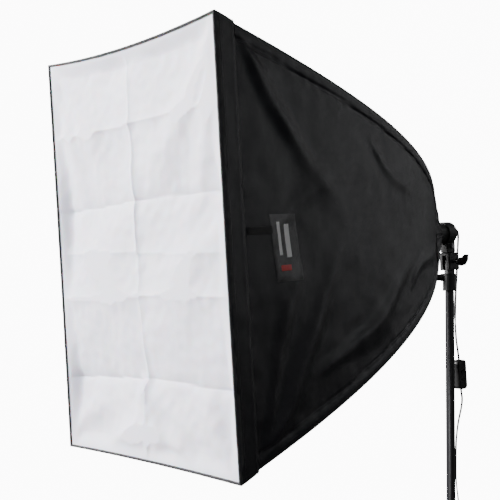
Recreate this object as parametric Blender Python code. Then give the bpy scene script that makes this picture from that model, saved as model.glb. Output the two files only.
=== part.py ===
"""Studio softbox with its lamp holder, inline-switched lead and folding light stand.

Metres, +Z up. The softbox faces -Y. The origin is on the floor, under the middle of the footprint.
Head pieces are built in the head's own frame, which hangs on the tilt joint: +X across,
-Y forward along the lamp's axis, +Z up.
"""

import math

import bmesh
import bpy
from mathutils import Matrix, Vector

# Clearances
GAP = 0.0003
CLOTH = 0.0016

# Stand
STAND_Y = 0.285
FOOT_REACH = 0.48
FOOT_RADIUS = 0.011
FOOT_LENGTH = 0.034
FOOT_FLAT = 0.0006
LEG_PIVOT_HEIGHT = 0.40
LEG_PIVOT_REACH = 0.031
LEG_WIDTH = 0.010
LEG_DEPTH = 0.014
BRACE_SHARE = 0.475
BRACE_WIDTH = 0.0030
BRACE_DEPTH = 0.011
LEG_DIRECTIONS = (-90.0, 30.0, 150.0)
LOWER_TUBE = (0.0125, 0.0113)
MID_TUBE = (0.0110, 0.0098)
TOP_TUBE = (0.0095, 0.0085)
LOWER_TUBE_TOP = 0.625
MID_TUBE_TOP = 0.800
MID_TUBE_LENGTH = 0.620
TOP_TUBE_LENGTH = 0.600
SPIGOT_RADIUS = 0.0079
CLAMP_HEIGHT = 0.042

# Head
PIVOT_HEIGHT = 1.350
HEAD_TILT = math.radians(4.2)
AXIS_RISE = 0.060
ADAPTER_TOP = -0.026
ADAPTER_BOTTOM = -0.063
ADAPTER_RADIUS = 0.0145
ADAPTER_KNOB_DROP = 0.0085
ADAPTER_TURN = math.radians(230.7)
TILT_BLOCK = (0.014, 0.0165, 0.0185)
TONGUE_HALF = 0.005
TILT_BOLT_RADIUS = 0.0040
BRACKET_BOLT_RISE = 0.0325
HOLDER_RADIUS = 0.0205
HOLDER_FRONT = 0.112
CAP_REAR = -0.013
SEAT_PLANE = 0.004
RELIEF_START = (0.0, -0.006, 0.066)
RELIEF_WAY = (0.0, 0.995, 0.100)
RELIEF_LENGTH = 0.024

# Softbox, all depths measured forward from the stand's axis
FRONT_WIDTH = 0.500
FRONT_HEIGHT = 0.700
FRONT_DEPTH = 0.793
SKIRT_DEPTH = 0.045
SKIRT_STEP = 0.0020
BOW_START = 0.060
BOW_POWER = 0.52
SLEEVE_FRONT = 0.100
SLEEVE_REAR = 0.046
SLEEVE_TAPER = 0.8
TOP_FULLNESS = 0.024
TOP_FULLNESS_POWER = 2.5
PANEL_STATIONS = 10

# Ribs
HUB_DEPTH = 0.118
HUB_HALF = 0.007
HUB_RADIUS = 0.046
RIB_PIVOT_REACH = 0.0415
RIB_RADIUS = 0.0024
RIB_TIP_DEPTH = 0.780
RIB_TIP_INSET = 0.016
RIB_POWER = 0.54
RIB_STATIONS = 14
RIB_EYE_RADIUS = 0.0046
RIB_EYE_WIDTH = 0.0048
RIB_PIN_RADIUS = 0.0014

# Bulb
BULB_CAP_RADIUS = 0.0130
BALLAST_RADIUS = 0.027
SPIRAL_RADIUS = 0.029
SPIRAL_FRONT = 0.330

# Lead
CORD_RADIUS = 0.0026
SWITCH_CENTRE = (0.0, 0.0320, 1.109)
SWITCH_SIZE = (0.018, 0.025, 0.062)
SWITCH_LEAN = math.radians(5.0)
COIL_CENTRE = (-0.0300, 0.1250)
COIL_RADIUS = 0.0285
COIL_HALF_WIDTH = 0.0078
COIL_HALF_HEIGHT = 0.0053

# Route of the lead, across and back from the stand's axis, and above the floor
ROUTE_TO_PAN = (
    (0.0, 0.0142, 1.4198), (0.0, 0.0178, 1.4203), (0.0, 0.0225, 1.4188), (0.0, 0.0268, 1.4145),
    (0.0, 0.0290, 1.4080), (0.0, 0.0292, 1.4000), (0.0, 0.0282, 1.3880), (0.0, 0.0265, 1.3700),
    (0.0, 0.0252, 1.3450), (0.0, 0.0240, 1.3270), (0.0, 0.0228, 1.3120),
)
ROUTE_TO_SWITCH = (
    (0.0, 0.0226, 1.3114), (0.0, 0.0206, 1.2900), (0.0, 0.0186, 1.2600), (0.0, 0.0180, 1.2200),
    (0.0, 0.0205, 1.1850), (0.0, 0.0253, 1.1600), (0.0, 0.0289, 1.1410),
)
ROUTE_TO_MID = (
    (0.0, 0.0349, 1.0768), (0.0, 0.0372, 1.0660), (0.0, 0.0385, 1.0540), (0.0, 0.0350, 1.0360),
    (0.0, 0.0250, 1.0060), (0.0, 0.0186, 0.9700), (0.0, 0.0172, 0.9250), (0.0, 0.0176, 0.8840),
    (0.0, 0.0230, 0.8480), (0.0, 0.0285, 0.8100), (0.0, 0.0300, 0.7500), (0.0, 0.0300, 0.6600),
    (0.0, 0.0310, 0.5600), (0.0, 0.0330, 0.4600),
)
ROUTE_TO_COIL = (
    (0.0, 0.0330, 0.4594), (0.0, 0.0345, 0.4000), (0.0, 0.0380, 0.3100), (0.0, 0.0425, 0.2200),
    (0.0, 0.0470, 0.1400), (0.0, 0.0515, 0.0800), (0.0, 0.0570, 0.0420), (0.0, 0.0660, 0.0185),
    (0.0, 0.0780, 0.0070), (0.0, 0.0885, 0.0036), (0.0, 0.0980, 0.0030),
)


# ---------------------------------------------------------------- scene and materials


def clear_scene():
    for obj in list(bpy.data.objects):
        bpy.data.objects.remove(obj, do_unlink=True)


def material(name, colour, roughness, metallic=0.0):
    found = bpy.data.materials.get(name)
    if found:
        return found
    made = bpy.data.materials.new(name)
    made.use_nodes = True
    shader = made.node_tree.nodes["Principled BSDF"]
    shader.inputs["Base Color"].default_value = (*colour, 1.0)
    shader.inputs["Roughness"].default_value = roughness
    shader.inputs["Metallic"].default_value = metallic
    return made


def black_cloth():
    return material("black_cloth", (0.012, 0.012, 0.015), 0.5)


def white_cloth():
    return material("white_cloth", (0.86, 0.85, 0.90), 0.6)


def black_metal():
    return material("black_metal", (0.015, 0.015, 0.018), 0.3, 0.6)


def black_plastic():
    return material("black_plastic", (0.02, 0.02, 0.02), 0.45)


def chrome():
    return material("chrome", (0.8, 0.8, 0.82), 0.15, 1.0)


def steel():
    return material("steel", (0.55, 0.55, 0.56), 0.35, 1.0)


def brass():
    return material("brass", (0.75, 0.58, 0.28), 0.3, 1.0)


def ceramic():
    return material("ceramic", (0.88, 0.87, 0.82), 0.3)


def lamp_glass():
    return material("lamp_glass", (0.93, 0.93, 0.90), 0.25)


def rubber():
    return material("rubber", (0.02, 0.02, 0.02), 0.8)


def black_cord():
    return material("black_cord", (0.015, 0.015, 0.015), 0.5)


# ---------------------------------------------------------------- shape helpers


def finish(name, bm, paint, parent=None, place=None, sharp=35.0):
    """Turns the bmesh into an object with outward faces, smooth shading and one material."""
    bm.normal_update()
    bmesh.ops.recalc_face_normals(bm, faces=bm.faces)
    mesh = bpy.data.meshes.new(name)
    bm.to_mesh(mesh)
    bm.free()
    mesh.shade_smooth()
    mesh.set_sharp_from_angle(angle=math.radians(sharp))
    mesh.materials.append(paint)
    obj = bpy.data.objects.new(name, mesh)
    bpy.context.scene.collection.objects.link(obj)
    if parent:
        obj.parent = parent
    if place:
        obj.matrix_local = place
    return obj


def loft_bmesh(rings, hollow=None):
    """Skins a row of point rings. With hollow, a second row of rings makes the inner wall."""
    bm = bmesh.new()
    walls = [[[bm.verts.new(p) for p in ring] for ring in rings]]
    if hollow:
        walls.append([[bm.verts.new(p) for p in ring] for ring in hollow])
    for wall in walls:
        for low, high in zip(wall, wall[1:]):
            for i in range(len(low)):
                j = (i + 1) % len(low)
                bm.faces.new((low[i], low[j], high[j], high[i]))
    for end in (0, -1):
        if not hollow:
            bm.faces.new(walls[0][end])
            continue
        outer, inner = walls[0][end], walls[1][end]
        for i in range(len(outer)):
            j = (i + 1) % len(outer)
            bm.faces.new((outer[i], outer[j], inner[j], inner[i]))
    return bm


def circle(radius, height=0.0, sides=20):
    """Points of a circle round Z."""
    turns = (2 * math.pi * i / sides for i in range(sides))
    return [Vector((radius * math.cos(t), radius * math.sin(t), height)) for t in turns]


def turned_bmesh(profile, sides=20):
    """Turns a profile of (radius, height) pairs round Z, closed by flat ends."""
    return loft_bmesh([circle(r, h, sides) for r, h in profile])


def tube_bmesh(profile, inner, sides=20):
    """Turns an outer and an inner profile, with the same number of stations, into a hollow piece."""
    outer_rings = [circle(r, h, sides) for r, h in profile]
    inner_rings = [circle(r, h, sides) for r, h in inner]
    return loft_bmesh(outer_rings, inner_rings)


def cup_bmesh(profile, inner, sides=20):
    """Turns a cup: the outer profile runs up to the rim and the inner one back down to its floor."""
    return loft_bmesh([circle(r, h, sides) for r, h in list(profile) + list(inner)])


def block_bmesh(low, high):
    """A box between two corners."""
    bm = bmesh.new()
    size = [b - a for a, b in zip(low, high)]
    centre = [(a + b) / 2 for a, b in zip(low, high)]
    place = Matrix.Translation(centre) @ Matrix.Diagonal((*size, 1.0))
    bmesh.ops.create_cube(bm, size=1.0, matrix=place)
    return bm


def bevelled(bm, width, segments=1):
    """Rounds every sharp edge of a flat-sided bmesh."""
    edges = [e for e in bm.edges if e.is_manifold and e.calc_face_angle(0.0) > 0.6]
    bmesh.ops.bevel(bm, geom=edges, offset=width, segments=segments, affect="EDGES", profile=0.5)
    return bm


def along(origin, direction, up=(0.0, 0.0, 1.0)):
    """A frame at origin with its Z along direction."""
    z = Vector(direction).normalized()
    side = Vector(up).cross(z)
    if side.length < 1e-6:
        side = Vector((1.0, 0.0, 0.0))
    x = side.normalized()
    y = z.cross(x)
    return Matrix.Translation(origin) @ Matrix((x, y, z)).transposed().to_4x4()


def cutter(name, bm, parent=None, place=None):
    """A hidden shape for a Boolean."""
    obj = finish(name, bm, black_plastic(), parent, place)
    obj.hide_render = True
    obj.display_type = "WIRE"
    return obj


def cut(obj, tool, operation="DIFFERENCE"):
    modifier = obj.modifiers.new(tool.name, "BOOLEAN")
    modifier.operation = operation
    modifier.object = tool


def bored(obj, name, radius, centre, direction, length, parent=None):
    """Drills a round hole through obj, centred on a point."""
    bore = turned_bmesh(((radius, -length / 2), (radius, length / 2)), 20)
    cut(obj, cutter(name, bore, parent, along(centre, direction)))


def smooth_route(points, spacing):
    """Evenly spaced points on a Catmull-Rom curve through the route's own points."""
    way = [Vector(p) for p in points]
    way = [way[0] * 2 - way[1]] + way + [way[-1] * 2 - way[-2]]
    fine = []
    for a, b, c, d in zip(way, way[1:], way[2:], way[3:]):
        for step in range(12):
            t = step / 12
            fine.append(0.5 * (2 * b + (c - a) * t + (2 * a - 5 * b + 4 * c - d) * t * t
                               + (3 * b - a - 3 * c + d) * t ** 3))
    fine.append(way[-2])
    total = sum((q - p).length for p, q in zip(fine, fine[1:]))
    count = max(3, round(total / spacing))
    out, walked, target = [fine[0]], 0.0, total / count
    for p, q in zip(fine, fine[1:]):
        step = (q - p).length
        while walked + step >= target and len(out) < count:
            out.append(p.lerp(q, (target - walked) / step))
            target += total / count
        walked += step
    out.append(fine[-1])
    return out


def knob_bmesh(radius, depth, shank_radius, shank_length, lobes):
    """A lobed hand knob on its shank, its axis along Z, the shank starting at the origin."""
    sides = lobes * 4
    rings = [circle(shank_radius, 0.0, sides), circle(shank_radius, shank_length, sides)]
    for share, swell in ((0.0, 0.86), (0.25, 1.0), (0.8, 1.0), (1.0, 0.86)):
        ring = []
        for i in range(sides):
            turn = 2 * math.pi * i / sides
            reach = radius * swell * (0.92 + 0.08 * math.cos(lobes * turn))
            height = shank_length + share * depth
            ring.append(Vector((reach * math.cos(turn), reach * math.sin(turn), height)))
        rings.append(ring)
    return loft_bmesh(rings)


def empty(name, place):
    made = bpy.data.objects.new(name, None)
    bpy.context.scene.collection.objects.link(made)
    made.matrix_world = place
    return made


# ---------------------------------------------------------------- stand


def stand_point(across, back, height):
    return Vector((across, STAND_Y + back, height))


def leg_angle():
    """Angle of a spread leg from upright."""
    return math.atan2(FOOT_REACH - LEG_PIVOT_REACH, LEG_PIVOT_HEIGHT - FOOT_RADIUS)


def leg_length():
    return math.hypot(FOOT_REACH - LEG_PIVOT_REACH, LEG_PIVOT_HEIGHT - FOOT_RADIUS)


def brace_pivot_height():
    return LEG_PIVOT_HEIGHT - 2 * BRACE_SHARE * leg_length() * math.cos(leg_angle())


def leg_frame(degrees):
    """A frame on the stand's axis with +X along a leg's direction."""
    turn = Matrix.Rotation(math.radians(degrees), 4, "Z")
    return Matrix.Translation(stand_point(0, 0, 0)) @ turn


def column_tubes(base):
    low = brace_pivot_height() - 0.012
    for name, (outer, inner), bottom, top in (
        ("lower_tube", LOWER_TUBE, low, LOWER_TUBE_TOP),
        ("mid_tube", MID_TUBE, MID_TUBE_TOP - MID_TUBE_LENGTH, MID_TUBE_TOP),
        ("top_tube", TOP_TUBE, top_tube_top() - TOP_TUBE_LENGTH, top_tube_top()),
    ):
        bm = tube_bmesh(((outer, bottom), (outer, top)), ((inner, bottom), (inner, top)))
        finish(name, bm, black_metal(), base)


def top_tube_top():
    return PIVOT_HEIGHT + ADAPTER_BOTTOM - GAP


def spigot(base):
    """Stud in the end of the top tube, which the lamp holder's adapter turns on."""
    top = PIVOT_HEIGHT + ADAPTER_TOP - 0.006
    seat = top_tube_top()
    plug = TOP_TUBE[1] - GAP
    profile = (
        (plug, seat - 0.030), (plug, seat - 0.002), (SPIGOT_RADIUS, seat),
        (SPIGOT_RADIUS, seat + 0.012), (0.0062, seat + 0.015), (0.0062, seat + 0.019),
        (SPIGOT_RADIUS, seat + 0.022), (SPIGOT_RADIUS, top - 0.0015), (0.0065, top),
    )
    finish("spigot", turned_bmesh(profile), chrome(), base)


def section_clamp(name, base, bottom, height, body_radius, tube_radius, turn):
    """Collar that grips a telescoping tube, with a boss for its knob."""
    bore = tube_radius + GAP
    profile = (
        (body_radius - 0.0012, bottom), (body_radius, bottom + 0.002),
        (body_radius, bottom + height - 0.002), (body_radius - 0.0012, bottom + height),
    )
    inner = ((bore, bottom), (bore, bottom + 0.002), (bore, bottom + height - 0.002),
             (bore, bottom + height))
    collar = finish(name, tube_bmesh(profile, inner), black_plastic(), base)
    middle = bottom + height / 2
    way = Vector((math.cos(turn), math.sin(turn), 0.0))
    start = way * (bore + 0.0012) + Vector((0, 0, middle))
    boss = turned_bmesh(((0.0068, 0.0), (0.0068, body_radius - bore + 0.0048)), 20)
    cut(collar, cutter(name + "_boss", boss, base, along(start, way)), "UNION")
    return way, body_radius + 0.006, middle


def section_clamps(base):
    """The two telescoping clamps. The lower tube ends under its clamp's inner step."""
    clamps = (
        ("lower_clamp", LOWER_TUBE_TOP + GAP, 0.0165, MID_TUBE[0], math.radians(200)),
        ("mid_clamp", MID_TUBE_TOP + GAP, 0.0145, TOP_TUBE[0], math.radians(340)),
    )
    for name, bottom, radius, tube, turn in clamps:
        way, reach, middle = section_clamp(name, base, bottom, CLAMP_HEIGHT, radius, tube, turn)
        knob = knob_bmesh(0.0135, 0.010, 0.0042, 0.008, 5)
        place = along(way * (reach + GAP) + Vector((0, 0, middle)), way)
        finish(name + "_knob", knob, black_plastic(), base, place)


def lug_bmesh(inner, outer, half_gap, thickness, height, middle, side):
    """A cheek that stands out of a collar beside a leg or a brace."""
    near = side * half_gap
    far = side * (half_gap + thickness)
    low = (inner, min(near, far), middle - height / 2)
    high = (outer, max(near, far), middle + height / 2)
    return block_bmesh(low, high)


def leg_collar(base):
    """Collar that slides on the lower tube and carries the three legs between its cheeks."""
    height = 0.034
    bottom = LEG_PIVOT_HEIGHT - height / 2
    bore = LOWER_TUBE[0] + GAP
    ring = tube_bmesh(((0.0205, bottom), (0.0205, bottom + height)),
                      ((bore, bottom), (bore, bottom + height)))
    collar = finish("leg_collar", ring, black_plastic(), base)
    for number, degrees in enumerate(LEG_DIRECTIONS, 1):
        spin = Matrix.Rotation(math.radians(degrees), 4, "Z")
        for side in (-1, 1):
            half = LEG_WIDTH / 2 + GAP
            lug = lug_bmesh(0.0165, LEG_PIVOT_REACH + 0.008, half, 0.003, 0.022,
                            LEG_PIVOT_HEIGHT, side)
            name = f"leg_collar_lug_{number}{'a' if side < 0 else 'b'}"
            cut(collar, cutter(name, lug, base, spin), "UNION")
    way = Vector((math.cos(math.radians(-30)), math.sin(math.radians(-30)), 0.0))
    start = way * 0.0175 + Vector((0, 0, LEG_PIVOT_HEIGHT))
    boss = turned_bmesh(((0.0068, 0.0), (0.0068, 0.0085)), 20)
    cut(collar, cutter("leg_collar_boss", boss, base, along(start, way)), "UNION")
    knob = knob_bmesh(0.0150, 0.011, 0.0042, 0.010, 5)
    place = along(way * (0.026 + GAP) + Vector((0, 0, LEG_PIVOT_HEIGHT)), way)
    finish("leg_collar_knob", knob, black_plastic(), base, place)


def brace_collar(base):
    """Ring fixed to the foot of the lower tube, with one lug for each brace."""
    middle = brace_pivot_height()
    bore = LOWER_TUBE[0] + GAP
    ring = tube_bmesh(((0.0195, middle - 0.010), (0.0195, middle + 0.010)),
                      ((bore, middle - 0.010), (bore, middle + 0.010)))
    collar = finish("brace_collar", ring, black_plastic(), base)
    for number, degrees in enumerate(LEG_DIRECTIONS, 1):
        spin = Matrix.Rotation(math.radians(degrees), 4, "Z")
        half = LEG_WIDTH / 2 - 0.001
        lug = block_bmesh((0.0160, -half, middle - 0.008),
                          (LEG_PIVOT_REACH + 0.006, half, middle + 0.008))
        cut(collar, cutter(f"brace_lug_{number}", lug, base, spin), "UNION")


def bar_bmesh(start, end, width, depth, bevel):
    """A rounded flat bar between two points of the X-Z plane, width across and depth in it."""
    run = Vector(end) - Vector(start)
    bm = block_bmesh((-depth / 2, -width / 2, 0.0), (depth / 2, width / 2, run.length))
    bevelled(bm, bevel)
    z = run.normalized()
    y = Vector((0, 1, 0))
    x = y.cross(z)
    bm.transform(Matrix.Translation(start) @ Matrix((x, y, z)).transposed().to_4x4())
    return bm


def legs_and_braces():
    angle = leg_angle()
    down = Vector((math.sin(angle), 0.0, -math.cos(angle)))
    pivot = Vector((LEG_PIVOT_REACH, 0.0, LEG_PIVOT_HEIGHT))
    foot = Vector((FOOT_REACH, 0.0, FOOT_RADIUS - FOOT_FLAT))
    cap_start = foot - down * (FOOT_LENGTH - FOOT_RADIUS)
    beside = Vector((0, LEG_WIDTH / 2 + GAP + BRACE_WIDTH / 2, 0))
    low = Vector((LEG_PIVOT_REACH, 0.0, brace_pivot_height()))
    joint = pivot + down * (BRACE_SHARE * leg_length())
    run = (joint - low).normalized()
    for number, degrees in enumerate(LEG_DIRECTIONS, 1):
        base = empty(f"leg_{number}_frame", leg_frame(degrees))
        leg = bar_bmesh(pivot - down * 0.006, cap_start - down * GAP, LEG_WIDTH, LEG_DEPTH, 0.002)
        finish(f"leg_{number}", leg, black_metal(), base)
        brace = bar_bmesh(low - run * 0.005 + beside, joint + run * 0.006 + beside,
                          BRACE_WIDTH, BRACE_DEPTH, 0.0008)
        finish(f"brace_{number}", brace, black_metal(), base)
        dome = [(FOOT_RADIUS * math.cos(t), -FOOT_RADIUS * math.sin(t))
                for t in (math.radians(5 + 16 * i) for i in range(6))]
        profile = [(0.0100, FOOT_LENGTH - FOOT_RADIUS)] + dome
        place = along(foot, -down, (0, 1, 0))
        cap = finish(f"foot_{number}", turned_bmesh(profile, 16), rubber(), base, place)
        ground = block_bmesh((FOOT_REACH - 0.02, -0.02, -0.02), (FOOT_REACH + 0.02, 0.02, 0.0))
        cut(cap, cutter(f"foot_flat_{number}", ground, base))


# ---------------------------------------------------------------- tilting head


def stand_adapter(pivot_frame):
    """Socket over the spigot, with the neck and tongue that the tilt bolt passes through."""
    bore = SPIGOT_RADIUS + GAP
    floor = ADAPTER_TOP - 0.006 + GAP
    outer = (
        (bore, ADAPTER_BOTTOM), (ADAPTER_RADIUS - 0.001, ADAPTER_BOTTOM),
        (ADAPTER_RADIUS, ADAPTER_BOTTOM + 0.001), (ADAPTER_RADIUS, ADAPTER_TOP - 0.001),
        (ADAPTER_RADIUS - 0.0015, ADAPTER_TOP),
    )
    rings = [circle(bore, floor)] + [circle(r, h) for r, h in outer]
    socket = finish("stand_adapter", loft_bmesh(rings), black_plastic(), pivot_frame)
    outline = [Vector((-TONGUE_HALF, 0.0110, ADAPTER_TOP - 0.003)),
               Vector((-TONGUE_HALF, -0.0110, ADAPTER_TOP - 0.003))]
    for step in range(9):
        turn = math.radians(-22.5 * step)
        outline.append(Vector((-TONGUE_HALF, -0.0110 * math.cos(turn), -0.0110 * math.sin(turn))))
    across = Vector((2 * TONGUE_HALF, 0, 0))
    tongue = loft_bmesh([outline, [p + across for p in outline]])
    cut(socket, cutter("adapter_tongue", tongue, pivot_frame), "UNION")
    bored(socket, "adapter_bolt_bore", TILT_BOLT_RADIUS + GAP, (0, 0, 0), (1, 0, 0), 0.03,
          pivot_frame)
    way = Vector((math.cos(ADAPTER_TURN), math.sin(ADAPTER_TURN), 0.0))
    height = ADAPTER_TOP - ADAPTER_KNOB_DROP
    start = way * (ADAPTER_RADIUS - 0.004) + Vector((0, 0, height))
    boss = turned_bmesh(((0.0082, 0.0), (0.0082, 0.0080)), 20)
    cut(socket, cutter("adapter_boss", boss, pivot_frame, along(start, way)), "UNION")
    knob = knob_bmesh(0.0105, 0.010, 0.0070, 0.013, 5)
    place = along(way * (ADAPTER_RADIUS + 0.004 + GAP) + Vector((0, 0, height)), way)
    finish("adapter_knob", knob, black_plastic(), pivot_frame, place)


def tilt_block(head):
    """Two cheeks over the tongue, joined above it, on the tilt bolt."""
    x, y, z = TILT_BLOCK
    body = bevelled(block_bmesh((-x, -y, -z), (x, y, z)), 0.0020)
    block = finish("tilt_block", body, black_plastic(), head)
    half = TONGUE_HALF + GAP
    slot = block_bmesh((-half, -y - 0.01, -z - 0.01), (half, y + 0.01, 0.0128))
    cut(block, cutter("tilt_block_slot", slot, head))
    bored(block, "tilt_block_bore", TILT_BOLT_RADIUS + GAP, (0, 0, 0), (1, 0, 0), 0.05, head)
    profile = ((0.0070, -x - 0.0050), (0.0070, -x - GAP), (TILT_BOLT_RADIUS, -x - GAP),
               (TILT_BOLT_RADIUS, x + 0.006))
    place = along((0, 0, 0), (1, 0, 0))
    finish("tilt_bolt", turned_bmesh(profile, 20), chrome(), head, place)


def tilt_knob(head):
    """Swept wing that tightens the tilt bolt."""
    start = TILT_BLOCK[0] + 0.006 + GAP
    hub = turned_bmesh(((0.0062, 0.0), (0.0066, 0.008), (0.0050, 0.0110)), 20)
    knob = finish("tilt_knob", hub, black_plastic(), head, along((start, 0, 0), (1, 0, 0)))
    outline = ((0.003, -0.0066), (0.011, -0.0105), (0.021, -0.0080), (0.0285, 0.0020),
               (0.0300, 0.0135), (0.0225, 0.0140), (0.0150, 0.0085), (0.003, 0.0060))
    rings = [[Vector((start + a, side, b)) for a, b in outline] for side in (-0.0026, 0.0026)]
    wing = bevelled(loft_bmesh(rings), 0.0008)
    cut(knob, cutter("tilt_knob_wing", wing, head), "UNION")


def holder_bracket(head):
    """Neck on the tilt block with a ring that grips the lamp holder."""
    low = TILT_BLOCK[2] + GAP
    neck = bevelled(block_bmesh((-0.0100, -0.0160, low), (0.0100, 0.0105, AXIS_RISE - 0.018)),
                    0.0015)
    bracket = finish("holder_bracket", neck, black_plastic(), head)
    place = along((0, 0.0020, AXIS_RISE), (0, -1, 0))
    ring = turned_bmesh(((HOLDER_RADIUS + 0.0032, 0.0), (HOLDER_RADIUS + 0.0032, 0.0225)), 24)
    cut(bracket, cutter("bracket_ring", ring, head, place), "UNION")
    hole = turned_bmesh(((HOLDER_RADIUS + GAP, -0.01), (HOLDER_RADIUS + GAP, 0.04)), 24)
    cut(bracket, cutter("bracket_hole", hole, head, place))
    rise = BRACKET_BOLT_RISE
    bored(bracket, "bracket_bolt_bore", 0.0027, (0, 0, rise), (1, 0, 0), 0.04, head)
    profile = ((0.0052, -0.0135), (0.0052, -0.0103), (0.0024, -0.0103), (0.0024, 0.0103),
               (0.0052, 0.0103), (0.0052, 0.0135))
    finish("bracket_bolt", turned_bmesh(profile, 20), chrome(), head, along((0, 0, rise), (1, 0, 0)))


def lamp_axis(depth):
    """A frame on the lamp's axis, its Z forward, at a depth in front of the stand's axis."""
    return along((0, -depth, AXIS_RISE), (0, -1, 0))


def lamp_holder(head):
    """Holder body, its domed rear cap, the socket insert and the screw shell."""
    wall = HOLDER_RADIUS - 0.0022
    length = HOLDER_FRONT - SEAT_PLANE
    body = tube_bmesh(
        ((HOLDER_RADIUS, 0.0), (HOLDER_RADIUS, length)), ((wall, 0.0), (wall, length)), 24)
    finish("holder_body", body, black_plastic(), head, lamp_axis(SEAT_PLANE))

    reach = SEAT_PLANE - CAP_REAR
    steps = [math.radians(a) for a in (12, 30, 48, 66, 84)]
    outer = [(HOLDER_RADIUS * math.sin(a), -reach * math.cos(a)) for a in steps]
    outer += [(HOLDER_RADIUS, -GAP)]
    inner = [(r - 0.0022, h + 0.0008) for r, h in reversed(outer[1:-1])]
    inner = [(wall, -GAP)] + inner
    cap = cup_bmesh(outer, inner, 24)
    finish("rear_cap", cap, black_plastic(), head, lamp_axis(SEAT_PLANE))

    insert_radius = wall - GAP
    insert = cup_bmesh(
        ((insert_radius, 0.072), (insert_radius, HOLDER_FRONT + 0.004)),
        ((0.0146, HOLDER_FRONT + 0.004), (0.0146, 0.078)), 24)
    finish("socket_insert", insert, ceramic(), head, lamp_axis(0.0))

    shell = tube_bmesh(
        ((0.0143, 0.080), (0.0143, HOLDER_FRONT + 0.003)),
        ((0.0135, 0.080), (0.0135, HOLDER_FRONT + 0.003)))
    finish("screw_shell", shell, brass(), head, lamp_axis(0.0))


def strain_relief(head):
    """Tapered sleeve through the top of the rear cap, where the lead leaves it."""
    profile = ((0.0046, 0.0), (0.0046, 0.010), (0.0038, 0.018), (0.0032, RELIEF_LENGTH))
    place = along(RELIEF_START, RELIEF_WAY)
    finish("strain_relief", turned_bmesh(profile, 16), rubber(), head, place)
    bored(bpy.data.objects["rear_cap"], "relief_bore", 0.0046 + GAP, RELIEF_START, RELIEF_WAY,
          2 * RELIEF_LENGTH, head)


def bulb(head):
    """Screw cap, ballast housing and spiral of a compact fluorescent lamp."""
    cap = ((0.0060, 0.0825), (0.0120, 0.0870), (BULB_CAP_RADIUS, 0.0900),
           (BULB_CAP_RADIUS, HOLDER_FRONT + 0.001))
    finish("bulb_cap", turned_bmesh(cap), brass(), head, lamp_axis(0.0))
    start = HOLDER_FRONT + 0.001 + GAP
    ballast = ((0.0128, start), (0.0135, start + 0.006), (0.0215, start + 0.014),
               (BALLAST_RADIUS, start + 0.024), (BALLAST_RADIUS, 0.178), (0.0240, 0.182))
    finish("bulb_ballast", turned_bmesh(ballast), lamp_glass(), head, lamp_axis(0.0))
    low = 0.182 + GAP
    spiral = ((0.0230, low), (SPIRAL_RADIUS, low + 0.008), (SPIRAL_RADIUS, SPIRAL_FRONT - 0.018),
              (0.0220, SPIRAL_FRONT - 0.006), (0.0080, SPIRAL_FRONT))
    finish("bulb_spiral", turned_bmesh(spiral), lamp_glass(), head, lamp_axis(0.0))


# ---------------------------------------------------------------- softbox


def swell(depth):
    """Share of the front's size that the bowed body has at a depth."""
    return ((depth - BOW_START) / (FRONT_DEPTH - BOW_START)) ** BOW_POWER


def body_half(depth):
    """Half width and half height of the body's cloth at a depth."""
    share = swell(depth)
    return share * (FRONT_WIDTH / 2 - SKIRT_STEP), share * (FRONT_HEIGHT / 2 - SKIRT_STEP)


def top_half(depth):
    """Height of the top panel over the lamp's axis. The body is fuller above than below."""
    share = (depth - SLEEVE_FRONT) / (FRONT_DEPTH - SKIRT_DEPTH - SLEEVE_FRONT)
    fullness = TOP_FULLNESS * max(1 - max(share, 0.0), 0.0) ** TOP_FULLNESS_POWER
    return body_half(depth)[1] + fullness


def head_point(across, depth, rise):
    """A point of the softbox: across, forward of the stand and above the lamp's axis."""
    return Vector((across, -depth, AXIS_RISE + rise))


def panel_depths():
    """Stations along a panel, closer together at the rear, where it curves most."""
    first, last = SLEEVE_FRONT + GAP, FRONT_DEPTH - 0.006
    shares = (i / (PANEL_STATIONS - 1) for i in range(PANEL_STATIONS))
    return [first + (last - first) * share ** 1.6 for share in shares]


def panels(head):
    """Four cloth panels. The top and bottom ones overlap the ends of the side ones."""
    for name, side in (("panel_top", 1), ("panel_bottom", -1)):
        rings = []
        for depth in panel_depths():
            w, h = body_half(depth)
            h = top_half(depth) if side > 0 else h
            rings.append([head_point(a, depth, side * b) for a, b in (
                (-w, h), (w, h), (w, h - CLOTH), (-w, h - CLOTH))])
        finish(name, loft_bmesh(rings), black_cloth(), head)
    for name, side in (("panel_left", -1), ("panel_right", 1)):
        rings = []
        for depth in panel_depths():
            w, h = body_half(depth)
            low = CLOTH + 2 * GAP - h
            high = top_half(depth) - CLOTH - 2 * GAP
            rings.append([head_point(side * a, depth, b) for a, b in (
                (w, low), (w, high), (w - CLOTH, high), (w - CLOTH, low))])
        finish(name, loft_bmesh(rings), black_cloth(), head)


def box_ring(half_width, half_height, depth):
    corners = ((-1, -1), (1, -1), (1, 1), (-1, 1))
    return [head_point(a * half_width, depth, b * half_height) for a, b in corners]


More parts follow.
